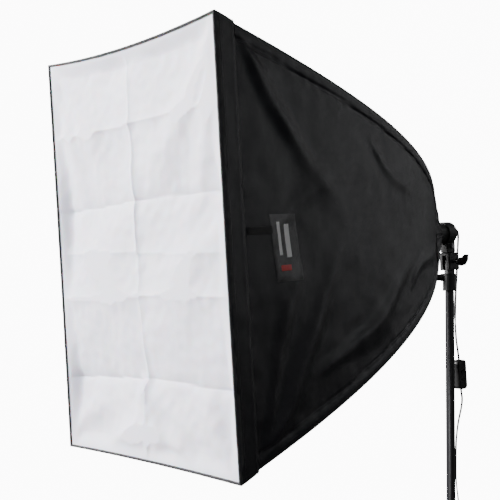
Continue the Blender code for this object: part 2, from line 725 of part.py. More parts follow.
def skirt_and_diffuser(head):
    """Skirt that wraps the body's front edge, and the diffuser inside its rim."""
    back = FRONT_DEPTH - SKIRT_DEPTH
    w, h = body_half(back)
    outer = [box_ring(w + SKIRT_STEP, h + SKIRT_STEP, back),
             box_ring(FRONT_WIDTH / 2, FRONT_HEIGHT / 2, FRONT_DEPTH)]
    step = SKIRT_STEP - CLOTH
    inner = [box_ring(w + step, h + step, back),
             box_ring(FRONT_WIDTH / 2 - CLOTH, FRONT_HEIGHT / 2 - CLOTH, FRONT_DEPTH)]
    finish("front_skirt", loft_bmesh(outer, inner), black_cloth(), head)
    w = FRONT_WIDTH / 2 - CLOTH - 4 * GAP
    h = FRONT_HEIGHT / 2 - CLOTH - 4 * GAP
    sheet = block_bmesh(head_point(-w, FRONT_DEPTH - 0.0010, -h),
                        head_point(w, FRONT_DEPTH - 0.0010 - CLOTH, h))
    finish("diffuser", sheet, white_cloth(), head)


def rear_sleeve(head):
    """Gathered cloth that closes the body's rear end round the lamp holder."""
    outer, inner = [], []
    stations = 7
    for i in range(stations):
        share = i / (stations - 1)
        depth = SLEEVE_FRONT + (SLEEVE_REAR - SLEEVE_FRONT) * share
        w, h = body_half(SLEEVE_FRONT)
        mouth = HOLDER_RADIUS + 0.0010 + CLOTH
        ease = (1 - share) ** SLEEVE_TAPER
        for rings, inset in ((outer, 0.0), (inner, CLOTH)):
            ring = []
            for step in range(32):
                turn = 2 * math.pi * (step + 0.5) / 32
                c, s = math.cos(turn), math.sin(turn)
                tall = (top_half(SLEEVE_FRONT) if s > 0 else h) - inset
                reach = min((w - inset) / max(abs(c), 1e-6), tall / max(abs(s), 1e-6))
                radius = (mouth - inset) * (1 - ease) + reach * ease
                ring.append(head_point(radius * c, depth, radius * s))
            rings.append(ring)
    finish("rear_sleeve", loft_bmesh(outer, inner), black_cloth(), head)


# ---------------------------------------------------------------- ribs


def corner_direction(sx, sz):
    """Unit vector across the lamp's axis towards one front corner."""
    return Vector((sx * FRONT_WIDTH, 0.0, sz * FRONT_HEIGHT)).normalized()


def rib_path():
    """Points (reach, depth) of a rib's centre line, from its pivot to the front corner."""
    tip = math.hypot(FRONT_WIDTH, FRONT_HEIGHT) / 2 - RIB_TIP_INSET
    points = []
    for i in range(RIB_STATIONS + 1):
        share = (i / RIB_STATIONS) ** 1.9
        depth = HUB_DEPTH + (RIB_TIP_DEPTH - HUB_DEPTH) * share
        reach = RIB_PIVOT_REACH + (tip - RIB_PIVOT_REACH) * share ** RIB_POWER
        points.append((reach, depth))
    return points


def rib_rings(way):
    """Rings round a rib's centre line, each one square to the line."""
    path = [head_point(r * way.x, d, r * way.z) for r, d in rib_path()]
    normal = way.cross(Vector((0, -1, 0))).normalized()
    rings = []
    for i, point in enumerate(path):
        before, after = path[max(i - 1, 0)], path[min(i + 1, len(path) - 1)]
        side = normal.cross((after - before).normalized())
        rings.append([
            point + RIB_RADIUS * (math.cos(t) * normal + math.sin(t) * side)
            for t in (2 * math.pi * (k + 0.5) / 6 for k in range(6))])
    return rings


def rib_hub(head):
    """Slotted ring on the lamp holder that the four ribs turn in."""
    bottom, top = HUB_DEPTH - HUB_HALF, HUB_DEPTH + HUB_HALF
    bore = HOLDER_RADIUS + GAP
    neck = 0.0300
    profile = ((neck, bottom - 0.016), (neck, bottom - 0.0005), (HUB_RADIUS, bottom),
               (HUB_RADIUS, top))
    inner = ((bore, bottom - 0.016), (bore, bottom - 0.0005), (bore, bottom), (bore, top))
    hub = finish("rib_hub", tube_bmesh(profile, inner, 24), black_plastic(), head,
                 lamp_axis(0.0))
    half = RIB_EYE_WIDTH / 2 + GAP
    for number, way in enumerate(rib_ways(), 1):
        across = way.cross(Vector((0, -1, 0))).normalized()
        centre = head_point(way.x * RIB_PIVOT_REACH, HUB_DEPTH, way.z * RIB_PIVOT_REACH)
        frame = Matrix((way, across, way.cross(across))).transposed().to_4x4()
        slot = block_bmesh((-0.0065, -half, -0.03), (0.02, half, 0.03))
        place = Matrix.Translation(centre) @ frame
        cut(hub, cutter(f"rib_slot_{number}", slot, head, place))
        bored(hub, f"rib_bore_{number}", RIB_PIN_RADIUS + GAP, centre, across, 0.022, head)


def rib_ways():
    return [corner_direction(sx, sz) for sx, sz in ((1, 1), (-1, 1), (-1, -1), (1, -1))]


def ribs(head):
    """Bowed steel ribs, each with a flat eye on its pin."""
    for number, way in enumerate(rib_ways(), 1):
        across = way.cross(Vector((0, -1, 0))).normalized()
        centre = head_point(way.x * RIB_PIVOT_REACH, HUB_DEPTH, way.z * RIB_PIVOT_REACH)
        half = RIB_EYE_WIDTH / 2
        eye = turned_bmesh(((RIB_EYE_RADIUS, -half), (RIB_EYE_RADIUS, half)), 20)
        rib = finish(f"rib_{number}", loft_bmesh(rib_rings(way)), steel(), head)
        cut(rib, cutter(f"rib_eye_{number}", eye, head, along(centre, across)), "UNION")
        bored(rib, f"rib_eye_bore_{number}", RIB_PIN_RADIUS + GAP, centre, across, 0.012, head)
        pin = turned_bmesh(((RIB_PIN_RADIUS, -0.0080), (RIB_PIN_RADIUS, 0.0080)), 12)
        finish(f"rib_pin_{number}", pin, steel(), head, along(centre, across))


# ---------------------------------------------------------------- lead


def cord_tube(name, route):
    points = smooth_route([stand_point(*p) for p in route], 5 * CORD_RADIUS)
    curve = bpy.data.curves.new(name, "CURVE")
    curve.dimensions = "3D"
    curve.bevel_depth = CORD_RADIUS
    curve.bevel_resolution = 2
    curve.use_fill_caps = True
    spline = curve.splines.new("POLY")
    spline.points.add(len(points) - 1)
    for slot, point in zip(spline.points, points):
        slot.co = (*point, 1.0)
    curve.materials.append(black_cord())
    obj = bpy.data.objects.new(name, curve)
    bpy.context.scene.collection.objects.link(obj)


def switch_frame():
    turn = Matrix.Rotation(SWITCH_LEAN, 4, "X")
    return Matrix.Translation(stand_point(*SWITCH_CENTRE)) @ turn


def inline_switch():
    """Rocker switch in the lead, its rocker on the +X face."""
    frame = empty("switch_frame", switch_frame())
    x, y, z = (s / 2 for s in SWITCH_SIZE)
    outline = []
    for side_y, side_z, start in ((1, 1, 0), (-1, 1, 90), (-1, -1, 180), (1, -1, 270)):
        for step in range(4):
            turn = math.radians(start + 30 * step)
            outline.append((side_y * (y - 0.007) + 0.007 * math.cos(turn),
                            side_z * (z - 0.007) + 0.007 * math.sin(turn)))
    rings = []
    for across, inset in ((-x, 0.001), (-x + 0.001, 0.0), (x - 0.001, 0.0), (x, 0.001)):
        rings.append([Vector((across, b * (1 - inset / y), c * (1 - inset / z)))
                      for b, c in outline])
    body = finish("inline_switch", loft_bmesh(rings), black_plastic(), frame)
    well = block_bmesh((x - 0.0085, -0.0056, -0.0103), (x + 0.01, 0.0056, 0.0103))
    cut(body, cutter("switch_well", well, frame))
    arc = [Vector((x - 0.0055, -0.0052, -0.0078)), Vector((x - 0.0055, -0.0052, 0.0078)),
           Vector((x + 0.0022, -0.0052, 0.0090)), Vector((x + 0.0009, -0.0052, 0.0040)),
           Vector((x + 0.0003, -0.0052, -0.0040)), Vector((x - 0.0003, -0.0052, -0.0090))]
    rocker = loft_bmesh([arc, [p + Vector((0, 0.0104, 0)) for p in arc]])
    finish("switch_rocker", rocker, black_plastic(), frame)


def coil():
    """Outer shape of the wound end of the lead."""
    outline = []
    for step in range(12):
        turn = 2 * math.pi * step / 12
        c, s = math.cos(turn), math.sin(turn)
        outline.append((math.copysign(abs(c) ** 0.6, c) * COIL_HALF_WIDTH,
                        math.copysign(abs(s) ** 0.6, s) * COIL_HALF_HEIGHT))
    bm = bmesh.new()
    sides = 20
    rings = []
    for i in range(sides):
        turn = 2 * math.pi * i / sides
        rings.append([bm.verts.new(((COIL_RADIUS + a) * math.cos(turn),
                                    (COIL_RADIUS + a) * math.sin(turn), b)) for a, b in outline])
    for near, far in zip(rings, rings[1:] + rings[:1]):
        for i in range(12):
            j = (i + 1) % 12
            bm.faces.new((near[i], near[j], far[j], far[i]))
    centre = stand_point(*COIL_CENTRE, COIL_HALF_HEIGHT + GAP)
    finish("cord_coil", bm, black_cord(), None, Matrix.Translation(centre), 50.0)


def plug():
    """Two-pin plug that lies beside the coil, its tail tangent to the turns."""
    rise = 0.0095 + GAP
    start = stand_point(COIL_CENTRE[0] - 0.0330, COIL_CENTRE[1] + COIL_RADIUS, 0.0)
    stations = ((0.0, 0.0030, 0.0030, 0.0034), (0.012, 0.0040, 0.0040, 0.0050),
                (0.024, 0.0050, 0.0050, 0.0072), (0.028, 0.0110, 0.0080, rise),
                (0.034, 0.0135, 0.0092, rise), (0.056, 0.0135, 0.0092, rise),
                (0.0585, 0.0120, 0.0080, rise))
    rings = []
    for run, half_y, half_z, height in stations:
        ring = []
        for step in range(16):
            turn = 2 * math.pi * step / 16
            c, s = math.cos(turn), math.sin(turn)
            ring.append(Vector((-run, math.copysign(abs(c) ** 0.6, c) * half_y,
                                height + math.copysign(abs(s) ** 0.6, s) * half_z)))
        rings.append(ring)
    body = finish("plug", loft_bmesh(rings), black_plastic(), None, Matrix.Translation(start))
    for number, side in enumerate((-1, 1), 1):
        place = along(start + Vector((-0.0560, side * 0.0064, rise)), (-1, 0, 0))
        pin = turned_bmesh(((0.0023, 0.0), (0.0023, 0.0190), (0.0014, 0.0205)), 12)
        cut(body, cutter(f"plug_pin_{number}", pin, None, place), "UNION")


# ---------------------------------------------------------------- assembly


def build_stand():
    base = empty("stand_frame", Matrix.Translation(stand_point(0, 0, 0)))
    column_tubes(base)
    spigot(base)
    section_clamps(base)
    leg_collar(base)
    brace_collar(base)
    legs_and_braces()


def build_head():
    pivot = Matrix.Translation(stand_point(0, 0, PIVOT_HEIGHT))
    stand_adapter(empty("pan_frame", pivot))
    head = empty("head_frame", pivot @ Matrix.Rotation(HEAD_TILT, 4, "X"))
    bpy.context.view_layer.update()
    tilt_block(head)
    tilt_knob(head)
    holder_bracket(head)
    lamp_holder(head)
    strain_relief(head)
    bulb(head)
    panels(head)
    skirt_and_diffuser(head)
    rear_sleeve(head)
    rib_hub(head)
    ribs(head)


def build_lead():
    cord_tube("cord_to_pan", ROUTE_TO_PAN)
    cord_tube("cord_to_switch", ROUTE_TO_SWITCH)
    cord_tube("cord_to_mid", ROUTE_TO_MID)
    cord_tube("cord_to_coil", ROUTE_TO_COIL)
    inline_switch()
    coil()
    plug()


clear_scene()
build_stand()
build_head()
build_lead()
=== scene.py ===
"""Looks of the studio softbox: cloth, bulb, lead, labels and surface finishes over the CAD frame.

Metres, +Z up. The softbox faces -Y and leans forward with the head's tilt.
"""

import math

import bmesh
import bpy
from mathutils import Matrix, Vector, noise


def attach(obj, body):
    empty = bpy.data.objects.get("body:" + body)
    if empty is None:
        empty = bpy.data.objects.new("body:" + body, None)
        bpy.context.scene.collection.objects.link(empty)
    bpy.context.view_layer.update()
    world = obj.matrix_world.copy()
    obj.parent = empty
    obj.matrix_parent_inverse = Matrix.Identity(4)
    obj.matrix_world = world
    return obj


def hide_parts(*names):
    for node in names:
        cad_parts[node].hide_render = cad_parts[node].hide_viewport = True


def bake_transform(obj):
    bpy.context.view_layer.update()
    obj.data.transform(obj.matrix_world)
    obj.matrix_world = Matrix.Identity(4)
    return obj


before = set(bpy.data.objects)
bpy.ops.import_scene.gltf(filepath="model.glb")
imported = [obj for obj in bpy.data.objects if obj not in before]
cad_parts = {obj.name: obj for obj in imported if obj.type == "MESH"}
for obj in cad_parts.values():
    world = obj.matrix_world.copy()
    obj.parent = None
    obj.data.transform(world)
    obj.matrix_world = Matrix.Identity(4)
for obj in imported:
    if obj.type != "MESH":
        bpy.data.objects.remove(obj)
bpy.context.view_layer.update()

# Camera: place, focal length in mm, turn and pitch in degrees
CAMERA_PLACE = (1.4575, -1.456, 1.2953)
CAMERA_LENS = 75.6
CAMERA_TURN = 50.69
CAMERA_PITCH = 2.02

# Stage
FLOOR_RADIUS = 5.5
COVE_RADIUS = 1.6
COVE_STEPS = 8
WALL_HEIGHT = 10.0
STAGE_SIDES = 72
BACKDROP_GLOW = 11.0
LIGHT_TARGET = Vector((0, -0.1, 1.3))

# Stand and head
STAND_Y = 0.285
PIVOT_HEIGHT = 1.350
AXIS_RISE = 0.060
HEAD_LEAN = math.radians(4.2)
HEAD = Matrix.Translation((0, STAND_Y, PIVOT_HEIGHT)) @ Matrix.Rotation(HEAD_LEAN, 4, "X")
LEG_HINGE_HEIGHT = 0.400
BRACE_HINGE_HEIGHT = 0.03045
HINGE_REACH = 0.031
FOOT_HEIGHT = 0.0104
FOOT_REACH = 0.48
LINK_SHARE = 0.475

# Softbox, depths measured forward from the stand's axis
HALF_WIDTH = 0.250
HALF_HEIGHT = 0.350
FRONT_DEPTH = 0.793
SKIRT_DEPTH = 0.045
SKIRT_STEP = 0.0020
BOW_START = 0.060
BOW_POWER = 0.52
SLEEVE_FRONT = 0.100
SLEEVE_REAR = 0.046
SLEEVE_TAPER = 0.8
TOP_FULLNESS = 0.024
TOP_FULLNESS_POWER = 2.5
HOLDER_RADIUS = 0.0205
BINDING_WIDTH = 0.0048
BOX_MIDDLE = 0.45
OUTLINE_RUN = 0.62
FOLD_GAIN = 1.35
LINING_INSET = 0.0048
QUADRANTS = ((1, 1), (-1, 1), (-1, -1), (1, -1))

# Lead: routes as back from the stand's axis, up and, off the middle plane, across
CORD_WIDTH = 0.0052
CORD_THICKNESS = 0.0030
ROUTE_TO_PAN = (
    (0.0142, 1.4198), (0.0178, 1.4203), (0.0225, 1.4188), (0.0268, 1.4145), (0.0290, 1.4080),
    (0.0292, 1.4000), (0.0282, 1.3880), (0.0265, 1.3700), (0.0252, 1.3450), (0.0240, 1.3270),
    (0.0227, 1.3117),
)
ROUTE_TO_SWITCH = (
    (0.0227, 1.3117), (0.0206, 1.2900), (0.0186, 1.2600), (0.0180, 1.2200), (0.0205, 1.1850),
    (0.0253, 1.1600), (0.0290, 1.1402),
)
ROUTE_TO_MID = (
    (0.0349, 1.0776), (0.0372, 1.0660), (0.0385, 1.0540), (0.0350, 1.0360), (0.0250, 1.0060),
    (0.0186, 0.9700), (0.0172, 0.9250), (0.0176, 0.8840), (0.0230, 0.8480), (0.0285, 0.8100),
    (0.0300, 0.7500), (0.0300, 0.6600), (0.0310, 0.5600), (0.0330, 0.4597),
)
ROUTE_TO_COIL = (
    (0.0330, 0.4597), (0.0345, 0.4000), (0.0380, 0.3100), (0.0425, 0.2200), (0.0470, 0.1400),
    (0.0515, 0.0800), (0.0570, 0.0420), (0.0660, 0.0185), (0.0780, 0.0070), (0.0885, 0.0036),
    (0.0980, 0.0028, 0.0008), (0.1120, 0.0028, 0.0028),
)
COIL_CENTRE = Vector((-0.0300, STAND_Y + 0.1250, 0))
COIL_RADIUS = 0.0285
COIL_OUTER = 0.0337
COIL_LOW_TURNS = 2.5
COIL_TURNS = 5.25
COIL_LAYERS = (0.0028, 0.0081)
COIL_STEPS = 48


# ---------------------------------------------------------------- camera, light and stage


def camera():
    """The photo's camera, fitted to the corners of the softbox's front."""
    data = bpy.data.cameras.new("camera")
    data.sensor_width = 36.0
    data.lens = CAMERA_LENS
    data.clip_end = 100
    obj = bpy.data.objects.new("camera", data)
    bpy.context.scene.collection.objects.link(obj)
    turn, pitch = math.radians(CAMERA_TURN), math.radians(CAMERA_PITCH)
    forward = Vector((-math.sin(turn) * math.cos(pitch), math.cos(turn) * math.cos(pitch),
                      math.sin(pitch)))
    obj.location = CAMERA_PLACE
    obj.rotation_euler = forward.to_track_quat("-Z", "Y").to_euler()
    bpy.context.scene.camera = obj


def area_light(name, place, size, power, colour=(1, 1, 1)):
    data = bpy.data.lights.new(name, "AREA")
    data.shape = "RECTANGLE"
    data.size, data.size_y = size
    data.energy = power
    data.color = colour
    obj = bpy.data.objects.new(name, data)
    obj.location = place
    obj.rotation_euler = (LIGHT_TARGET - Vector(place)).to_track_quat("-Z", "Y").to_euler()
    obj.visible_camera = False
    bpy.context.scene.collection.objects.link(obj)


def stage_and_light():
    """Floor that curves up into a round backdrop, and soft studio light."""
    profile = [(0.01, 0.0), (2.0, 0.0), (FLOOR_RADIUS, 0.0)]
    for step in range(1, COVE_STEPS + 1):
        turn = math.radians(90 * step / COVE_STEPS)
        profile.append((FLOOR_RADIUS + COVE_RADIUS * math.sin(turn),
                        COVE_RADIUS - COVE_RADIUS * math.cos(turn)))
    profile.append((FLOOR_RADIUS + COVE_RADIUS, WALL_HEIGHT))
    bm = bmesh.new()
    rings = [[bm.verts.new((x, y, rise)) for x, y in circle_section(radius, STAGE_SIDES)]
             for radius, rise in profile]
    for near, far in zip(rings, rings[1:]):
        for k in range(STAGE_SIDES):
            m = (k + 1) % STAGE_SIDES
            bm.faces.new((near[k], far[k], far[m], near[m]))
    bm.faces.new(rings[0])
    obj = mesh_object("backdrop", bm, plain_white())
    obj.visible_diffuse = False
    obj.visible_glossy = False
    obj.visible_transmission = False
    area_light("key", (-2.4, -3.0, 2.7), (1.6, 1.6), 600, (1.0, 0.99, 0.99))
    area_light("fill", (0.9, -4.2, 1.2), (2.0, 2.0), 75, (0.97, 0.98, 1.0))
    area_light("side", (3.2, 0.9, 2.5), (1.0, 2.4), 12, (0.97, 0.98, 1.0))
    area_light("rim", (0.8, 3.2, 2.2), (1.0, 2.0), 14, (0.98, 0.99, 1.0))
    area_light("top", (0.2, 0.3, 4.2), (2.0, 2.0), 12)
    world = bpy.data.worlds.new("studio")
    world.use_nodes = True
    back = world.node_tree.nodes["Background"]
    back.inputs["Color"].default_value = (1, 1, 1, 1)
    back.inputs["Strength"].default_value = 0.05
    bpy.context.scene.world = world


def plain_white():
    made = bpy.data.materials.new("stage_white")
    made.use_nodes = True
    shader = made.node_tree.nodes["Principled BSDF"]
    shader.inputs["Base Color"].default_value = (0.93, 0.93, 0.93, 1)
    shader.inputs["Roughness"].default_value = 0.9
    shader.inputs["Emission Color"].default_value = (1, 1, 1, 1)
    shader.inputs["Emission Strength"].default_value = BACKDROP_GLOW
    return made


# ---------------------------------------------------------------- meshes


def mesh_object(name, bm, material):
    mesh = bpy.data.meshes.new(name)
    bm.to_mesh(mesh)
    bm.free()
    for face in mesh.polygons:
        face.use_smooth = True
    mesh.materials.append(material)
    obj = bpy.data.objects.new(name, mesh)
    bpy.context.scene.collection.objects.link(obj)
    return obj


def carry(obj, body):
    """Rides a rigid piece on its body."""
    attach(obj, body)


def grid_object(name, rows, measures, material, normals=None, facing=1):
    """A smooth sheet through a grid of points, with a UV map in metres.

    Its faces look away from the middle of the softbox, or towards it if facing is -1.
    """
    middle = head_world(0, BOX_MIDDLE, 0)
    lean = 0.0
    for near, far in list(zip(rows, rows[1:]))[::3]:
        for a, b, d in list(zip(near, near[1:], far))[::3]:
            lean += (d - a).cross(b - a).dot(a - middle)
    flip = lean * facing > 0
    bm = bmesh.new()
    layer = bm.loops.layers.uv.new("metres")
    verts = [[bm.verts.new(p) for p in row] for row in rows]
    place = {v: uv for row, marks in zip(verts, measures) for v, uv in zip(row, marks)}
    for near, far in zip(verts, verts[1:]):
        for a, b, c, d in zip(near, near[1:], far[1:], far):
            face = bm.faces.new((d, c, b, a) if flip else (a, b, c, d))
            for loop in face.loops:
                loop[layer].uv = place[loop.vert]
    bm.verts.index_update()
    order = [(v.index, i, j) for i, row in enumerate(verts) for j, v in enumerate(row)]
    obj = mesh_object(name, bm, material)
    if normals:
        listed = [None] * len(obj.data.vertices)
        for index, i, j in order:
            known = normals[i][j]
            listed[index] = known if known.dot(obj.data.vertices[index].normal) > 0 else -known
        obj.data.normals_split_custom_set_from_vertices(listed)
    return obj


def grid_normals(point, us, vs):
    """Normals from the sheet's own function, so that sheets that share an edge shade as one."""
    step = 0.0012
    found = []
    for u in us:
        row = []
        for v in vs:
            across = point(u + step, v) - point(u - step, v)
            along = point(u, v + step) - point(u, v - step)
            row.append(across.cross(along).normalized())
        found.append(row)
    return found


def ring_sweep(name, path, sections, material, closed=False):
    """A mesh tube: one list of (side, up) offsets per path point, on frames carried along it."""
    count = len(path)
    tangents = []
    for i in range(count):
        before = path[i - 1] if i or closed else path[0]
        after = path[(i + 1) % count] if i < count - 1 or closed else path[-1]
        tangents.append((after - before).normalized())
    side = tangents[0].orthogonal().normalized()
    for axis in (Vector((1, 0, 0)), Vector((0, 0, 1))):
        flat = axis - tangents[0] * axis.dot(tangents[0])
        if flat.length > 0.5:
            side = flat.normalized()
            break
    bm = bmesh.new()
    layer = bm.loops.layers.uv.new("metres")
    rings, walked, runs = [], 0.0, []
    for i, (point, tangent) in enumerate(zip(path, tangents)):
        side = (side - tangent * side.dot(tangent)).normalized()
        up = tangent.cross(side)
        if i:
            walked += (point - path[i - 1]).length
        runs.append(walked)
        rings.append([bm.verts.new(point + side * a + up * b) for a, b in sections[i]])
    sides = len(rings[0])
    pairs = list(zip(range(count - 1), range(1, count))) + ([(count - 1, 0)] if closed else [])
    for i, k in pairs:
        for j in range(sides):
            m = (j + 1) % sides
            face = bm.faces.new((rings[i][j], rings[k][j], rings[k][m], rings[i][m]))
            for loop, (ring, slot) in zip(face.loops, ((i, j), (k, j), (k, j + 1), (i, j + 1))):
                loop[layer].uv = (runs[ring], slot / sides)
    if not closed:
        bm.faces.new(rings[0])
        bm.faces.new(list(reversed(rings[-1])))
    bmesh.ops.recalc_face_normals(bm, faces=bm.faces)
    return mesh_object(name, bm, material)


def circle_section(radius, sides):
    return [(radius * math.cos(2 * math.pi * k / sides), radius * math.sin(2 * math.pi * k / sides))
            for k in range(sides)]


def smooth_route(points, spacing):
    """Evenly spaced points on a Catmull-Rom curve through the route's own points."""
    way = [Vector(p) for p in points]
    way = [way[0] * 2 - way[1]] + way + [way[-1] * 2 - way[-2]]
    fine = []
    for a, b, c, d in zip(way, way[1:], way[2:], way[3:]):
        for step in range(12):
            t = step / 12
            fine.append(0.5 * (2 * b + (c - a) * t + (2 * a - 5 * b + 4 * c - d) * t * t
                               + (3 * b - a - 3 * c + d) * t ** 3))
    fine.append(way[-2])
    total = sum((q - p).length for p, q in zip(fine, fine[1:]))
    count = max(3, round(total / spacing))
    out, walked, target = [fine[0]], 0.0, total / count
    for p, q in zip(fine, fine[1:]):
        step = (q - p).length
        while walked + step >= target and len(out) < count:
            out.append(p.lerp(q, (target - walked) / step))
            target += total / count
        walked += step
    out.append(fine[-1])
    return out


def smoothstep(value):
    t = min(max(value, 0.0), 1.0)
    return t * t * (3 - 2 * t)


def head_world(across, depth, rise):
    """World point of a place on the head: across, forward of the stand, above the lamp's axis."""
    return HEAD @ Vector((across, -depth, AXIS_RISE + rise))


# ---------------------------------------------------------------- materials


class Shader:
    """Short notation for a procedural material."""

    def __init__(self, name, colour, roughness, metallic=0.0, **constants):
        self.material = bpy.data.materials.new(name)
        self.material.use_nodes = True
        self.tree = self.material.node_tree
        self.main = self.tree.nodes["Principled BSDF"]
        self.main.inputs["Base Color"].default_value = (*colour, 1)
        self.main.inputs["Roughness"].default_value = roughness
        self.main.inputs["Metallic"].default_value = metallic
        for key, value in constants.items():
            self.main.inputs[key.replace("_", " ")].default_value = value
        self.place = self.node("ShaderNodeTexCoord").outputs["Object"]
        self.uv = self.node("ShaderNodeUVMap", uv_map="metres").outputs["UV"]
        self.bumps = None

    def node(self, kind, inputs=(), **settings):
        made = self.tree.nodes.new(kind)
        for key, value in settings.items():
            setattr(made, key, value)
        for key, value in dict(inputs).items():
            if isinstance(value, bpy.types.NodeSocket):
                self.tree.links.new(value, made.inputs[key])
            else:
                made.inputs[key].default_value = value
        return made

    def stretched(self, source, scale):
        return self.node("ShaderNodeMapping", {"Vector": source, "Scale": scale}).outputs[0]

    def noise(self, scale, detail=3.0, source=None, rough=0.5):
        inputs = {"Vector": source or self.place, "Scale": scale, "Detail": detail,
                  "Roughness": rough}
        return self.node("ShaderNodeTexNoise", inputs).outputs["Fac"]

    def bands(self, scale, source, direction="X"):
        return self.node("ShaderNodeTexWave", {"Vector": source, "Scale": scale},
                         bands_direction=direction).outputs["Fac"]

    def math(self, operation, a, b=0.0):
        return self.node("ShaderNodeMath", {0: a, 1: b}, operation=operation).outputs[0]

    def ramp(self, value, low, high, out_low, out_high):
        inputs = {"Value": value, "From Min": low, "From Max": high, "To Min": out_low,
                  "To Max": out_high}
        return self.node("ShaderNodeMapRange", inputs).outputs[0]

    def blend(self, amount, first, second):
        inputs = {"Factor": amount, 6: (*first, 1), 7: (*second, 1)}
        return self.node("ShaderNodeMix", inputs, data_type="RGBA").outputs[2]

    def colour(self, socket):
        self.tree.links.new(socket, self.main.inputs["Base Color"])

    def roughness(self, socket):
        self.tree.links.new(socket, self.main.inputs["Roughness"])

    def mottle(self, source, low, high, first, second, most=1.0):
        """Colour that runs from first to second as source runs from low to high."""
        self.colour(self.blend(self.ramp(source, low, high, 0.0, most), first, second))

    def wear(self, source, smooth, rough, high=0.7):
        """Roughness that wanders between two values."""
        self.roughness(self.ramp(source, 0.3, high, smooth, rough))

    def weave(self, scale, strength, distance):
        """Threads both ways, in metres of the cloth."""
        threads = [self.bands(scale, self.uv, way) for way in "XY"]
        self.bump(self.math("MAXIMUM", *threads), strength, distance)

    def bump(self, height, strength, distance):
        inputs = {"Height": height, "Strength": strength, "Distance": distance}
        if self.bumps:
            inputs["Normal"] = self.bumps
        self.bumps = self.node("ShaderNodeBump", inputs).outputs[0]
        self.tree.links.new(self.bumps, self.main.inputs["Normal"])


def made_once(build):
    cache = {}

    def wrapped(*args):
        if args not in cache:
            cache[args] = build(*args)
        return cache[args]

    return wrapped


@made_once
def black_nylon():
    """Satin nylon with its plain weave, faint slubs and dusty wear."""
    s = Shader("black_nylon", (0.009, 0.009, 0.012), 0.44, Sheen_Weight=0.03, Sheen_Roughness=0.4,
               Specular_IOR_Level=0.24)
    s.mottle(s.noise(7.0, 4.0), 0.3, 0.75, (0.0042, 0.0040, 0.0064), (0.0088, 0.0084, 0.0122))
    s.wear(s.noise(60.0, 2.0, s.stretched(s.uv, (1.0, 12.0, 1.0))), 0.38, 0.50)
    s.weave(900.0, 0.25, 0.0002)
    s.bump(s.noise(38.0, 5.0), 0.30, 0.0016)
    s.bump(s.noise(11.0, 3.0), 0.35, 0.0050)
    return s.material


@made_once
def silver_lining():
    """Aluminised lining with embossed squares."""
    s = Shader("silver_lining", (0.72, 0.73, 0.75), 0.32, 0.85)
    s.weave(52.0, 0.5, 0.0008)
    s.bump(s.noise(24.0, 4.0), 0.4, 0.0025)
    s.wear(s.noise(15.0), 0.26, 0.42)
    return s.material


@made_once
def white_nylon():
    """Thin white diffusion nylon, faintly lilac, with a fine ripstop weave."""
    s = Shader("white_nylon", (0.86, 0.85, 0.90), 0.62, Sheen_Weight=0.15,
               Subsurface_Weight=0.25, Subsurface_Scale=0.02, Specular_IOR_Level=0.3)
    s.mottle(s.noise(3.2, 3.0), 0.3, 0.7, (0.79, 0.78, 0.89), (0.87, 0.86, 0.96))
    s.weave(700.0, 0.12, 0.0002)
    s.bump(s.noise(22.0, 4.0), 0.25, 0.0022)
    return s.material


@made_once
def binding_tape():
    """Ribbed polyester tape."""
    s = Shader("binding_tape", (0.010, 0.010, 0.012), 0.7, Sheen_Weight=0.08)
    s.bump(s.bands(420.0, s.uv, "X"), 0.6, 0.0004)
    s.wear(s.noise(80.0), 0.6, 0.8)
    return s.material


@made_once
def thread():
    s = Shader("thread", (0.024, 0.024, 0.027), 0.6, Sheen_Weight=0.1)
    s.bump(s.noise(900.0), 0.5, 0.0002)
    return s.material


@made_once
def label_cloth():
    s = Shader("label_cloth", (0.010, 0.010, 0.012), 0.42)
    s.bump(s.bands(600.0, s.uv, "X"), 0.4, 0.0002)
    s.wear(s.noise(90.0), 0.32, 0.46)
    return s.material


@made_once
def label_mark():
    s = Shader("label_mark", (0.55, 0.05, 0.05), 0.6)
    s.bump(s.noise(700.0), 0.4, 0.0002)
    return s.material


@made_once
def label_stripe():
    s = Shader("label_stripe", (0.78, 0.78, 0.78), 0.55, Sheen_Weight=0.2)
    s.bump(s.bands(500.0, s.uv, "Y"), 0.5, 0.0002)
    return s.material


@made_once
def hook_tape():
    s = Shader("hook_tape", (0.010, 0.010, 0.011), 0.9, Sheen_Weight=0.12)
    s.bump(s.noise(950.0, 2.0), 0.9, 0.0008)
    return s.material


@made_once
def moulded_plastic():
    """Black injection-moulded plastic with spark-eroded texture and rubbed edges."""
    black, rubbed = (0.0110, 0.0110, 0.01155), (0.0286, 0.0286, 0.0286)
    s = Shader("moulded_plastic", black, 0.42, Specular_IOR_Level=0.34)
    scuff = s.noise(55.0, 6.0, None, 0.7)
    edge = s.node("ShaderNodeNewGeometry").outputs["Pointiness"]
    worn = s.ramp(edge, 0.54, 0.62, 0.0, 0.8)
    s.colour(s.blend(s.math("MULTIPLY", worn, s.ramp(scuff, 0.4, 0.7, 0.2, 1.0)), black, rubbed))
    s.wear(scuff, 0.34, 0.52, 0.75)
    s.bump(s.noise(1100.0, 2.0), 0.25, 0.0002)
    return s.material


@made_once
def tube_paint():
    """Satin black powder coat with fine scratches along the tube."""
    black = (0.014, 0.014, 0.016)
    s = Shader("tube_paint", black, 0.30, Coat_Weight=0.25, Coat_Roughness=0.22)
    long_marks = s.noise(160.0, 4.0, s.stretched(s.place, (1.0, 1.0, 0.04)), 0.65)
    s.mottle(long_marks, 0.62, 0.74, black, (0.09, 0.09, 0.095), 0.5)
    s.wear(long_marks, 0.24, 0.38)
    s.bump(s.noise(420.0, 2.0), 0.12, 0.0003)
    return s.material


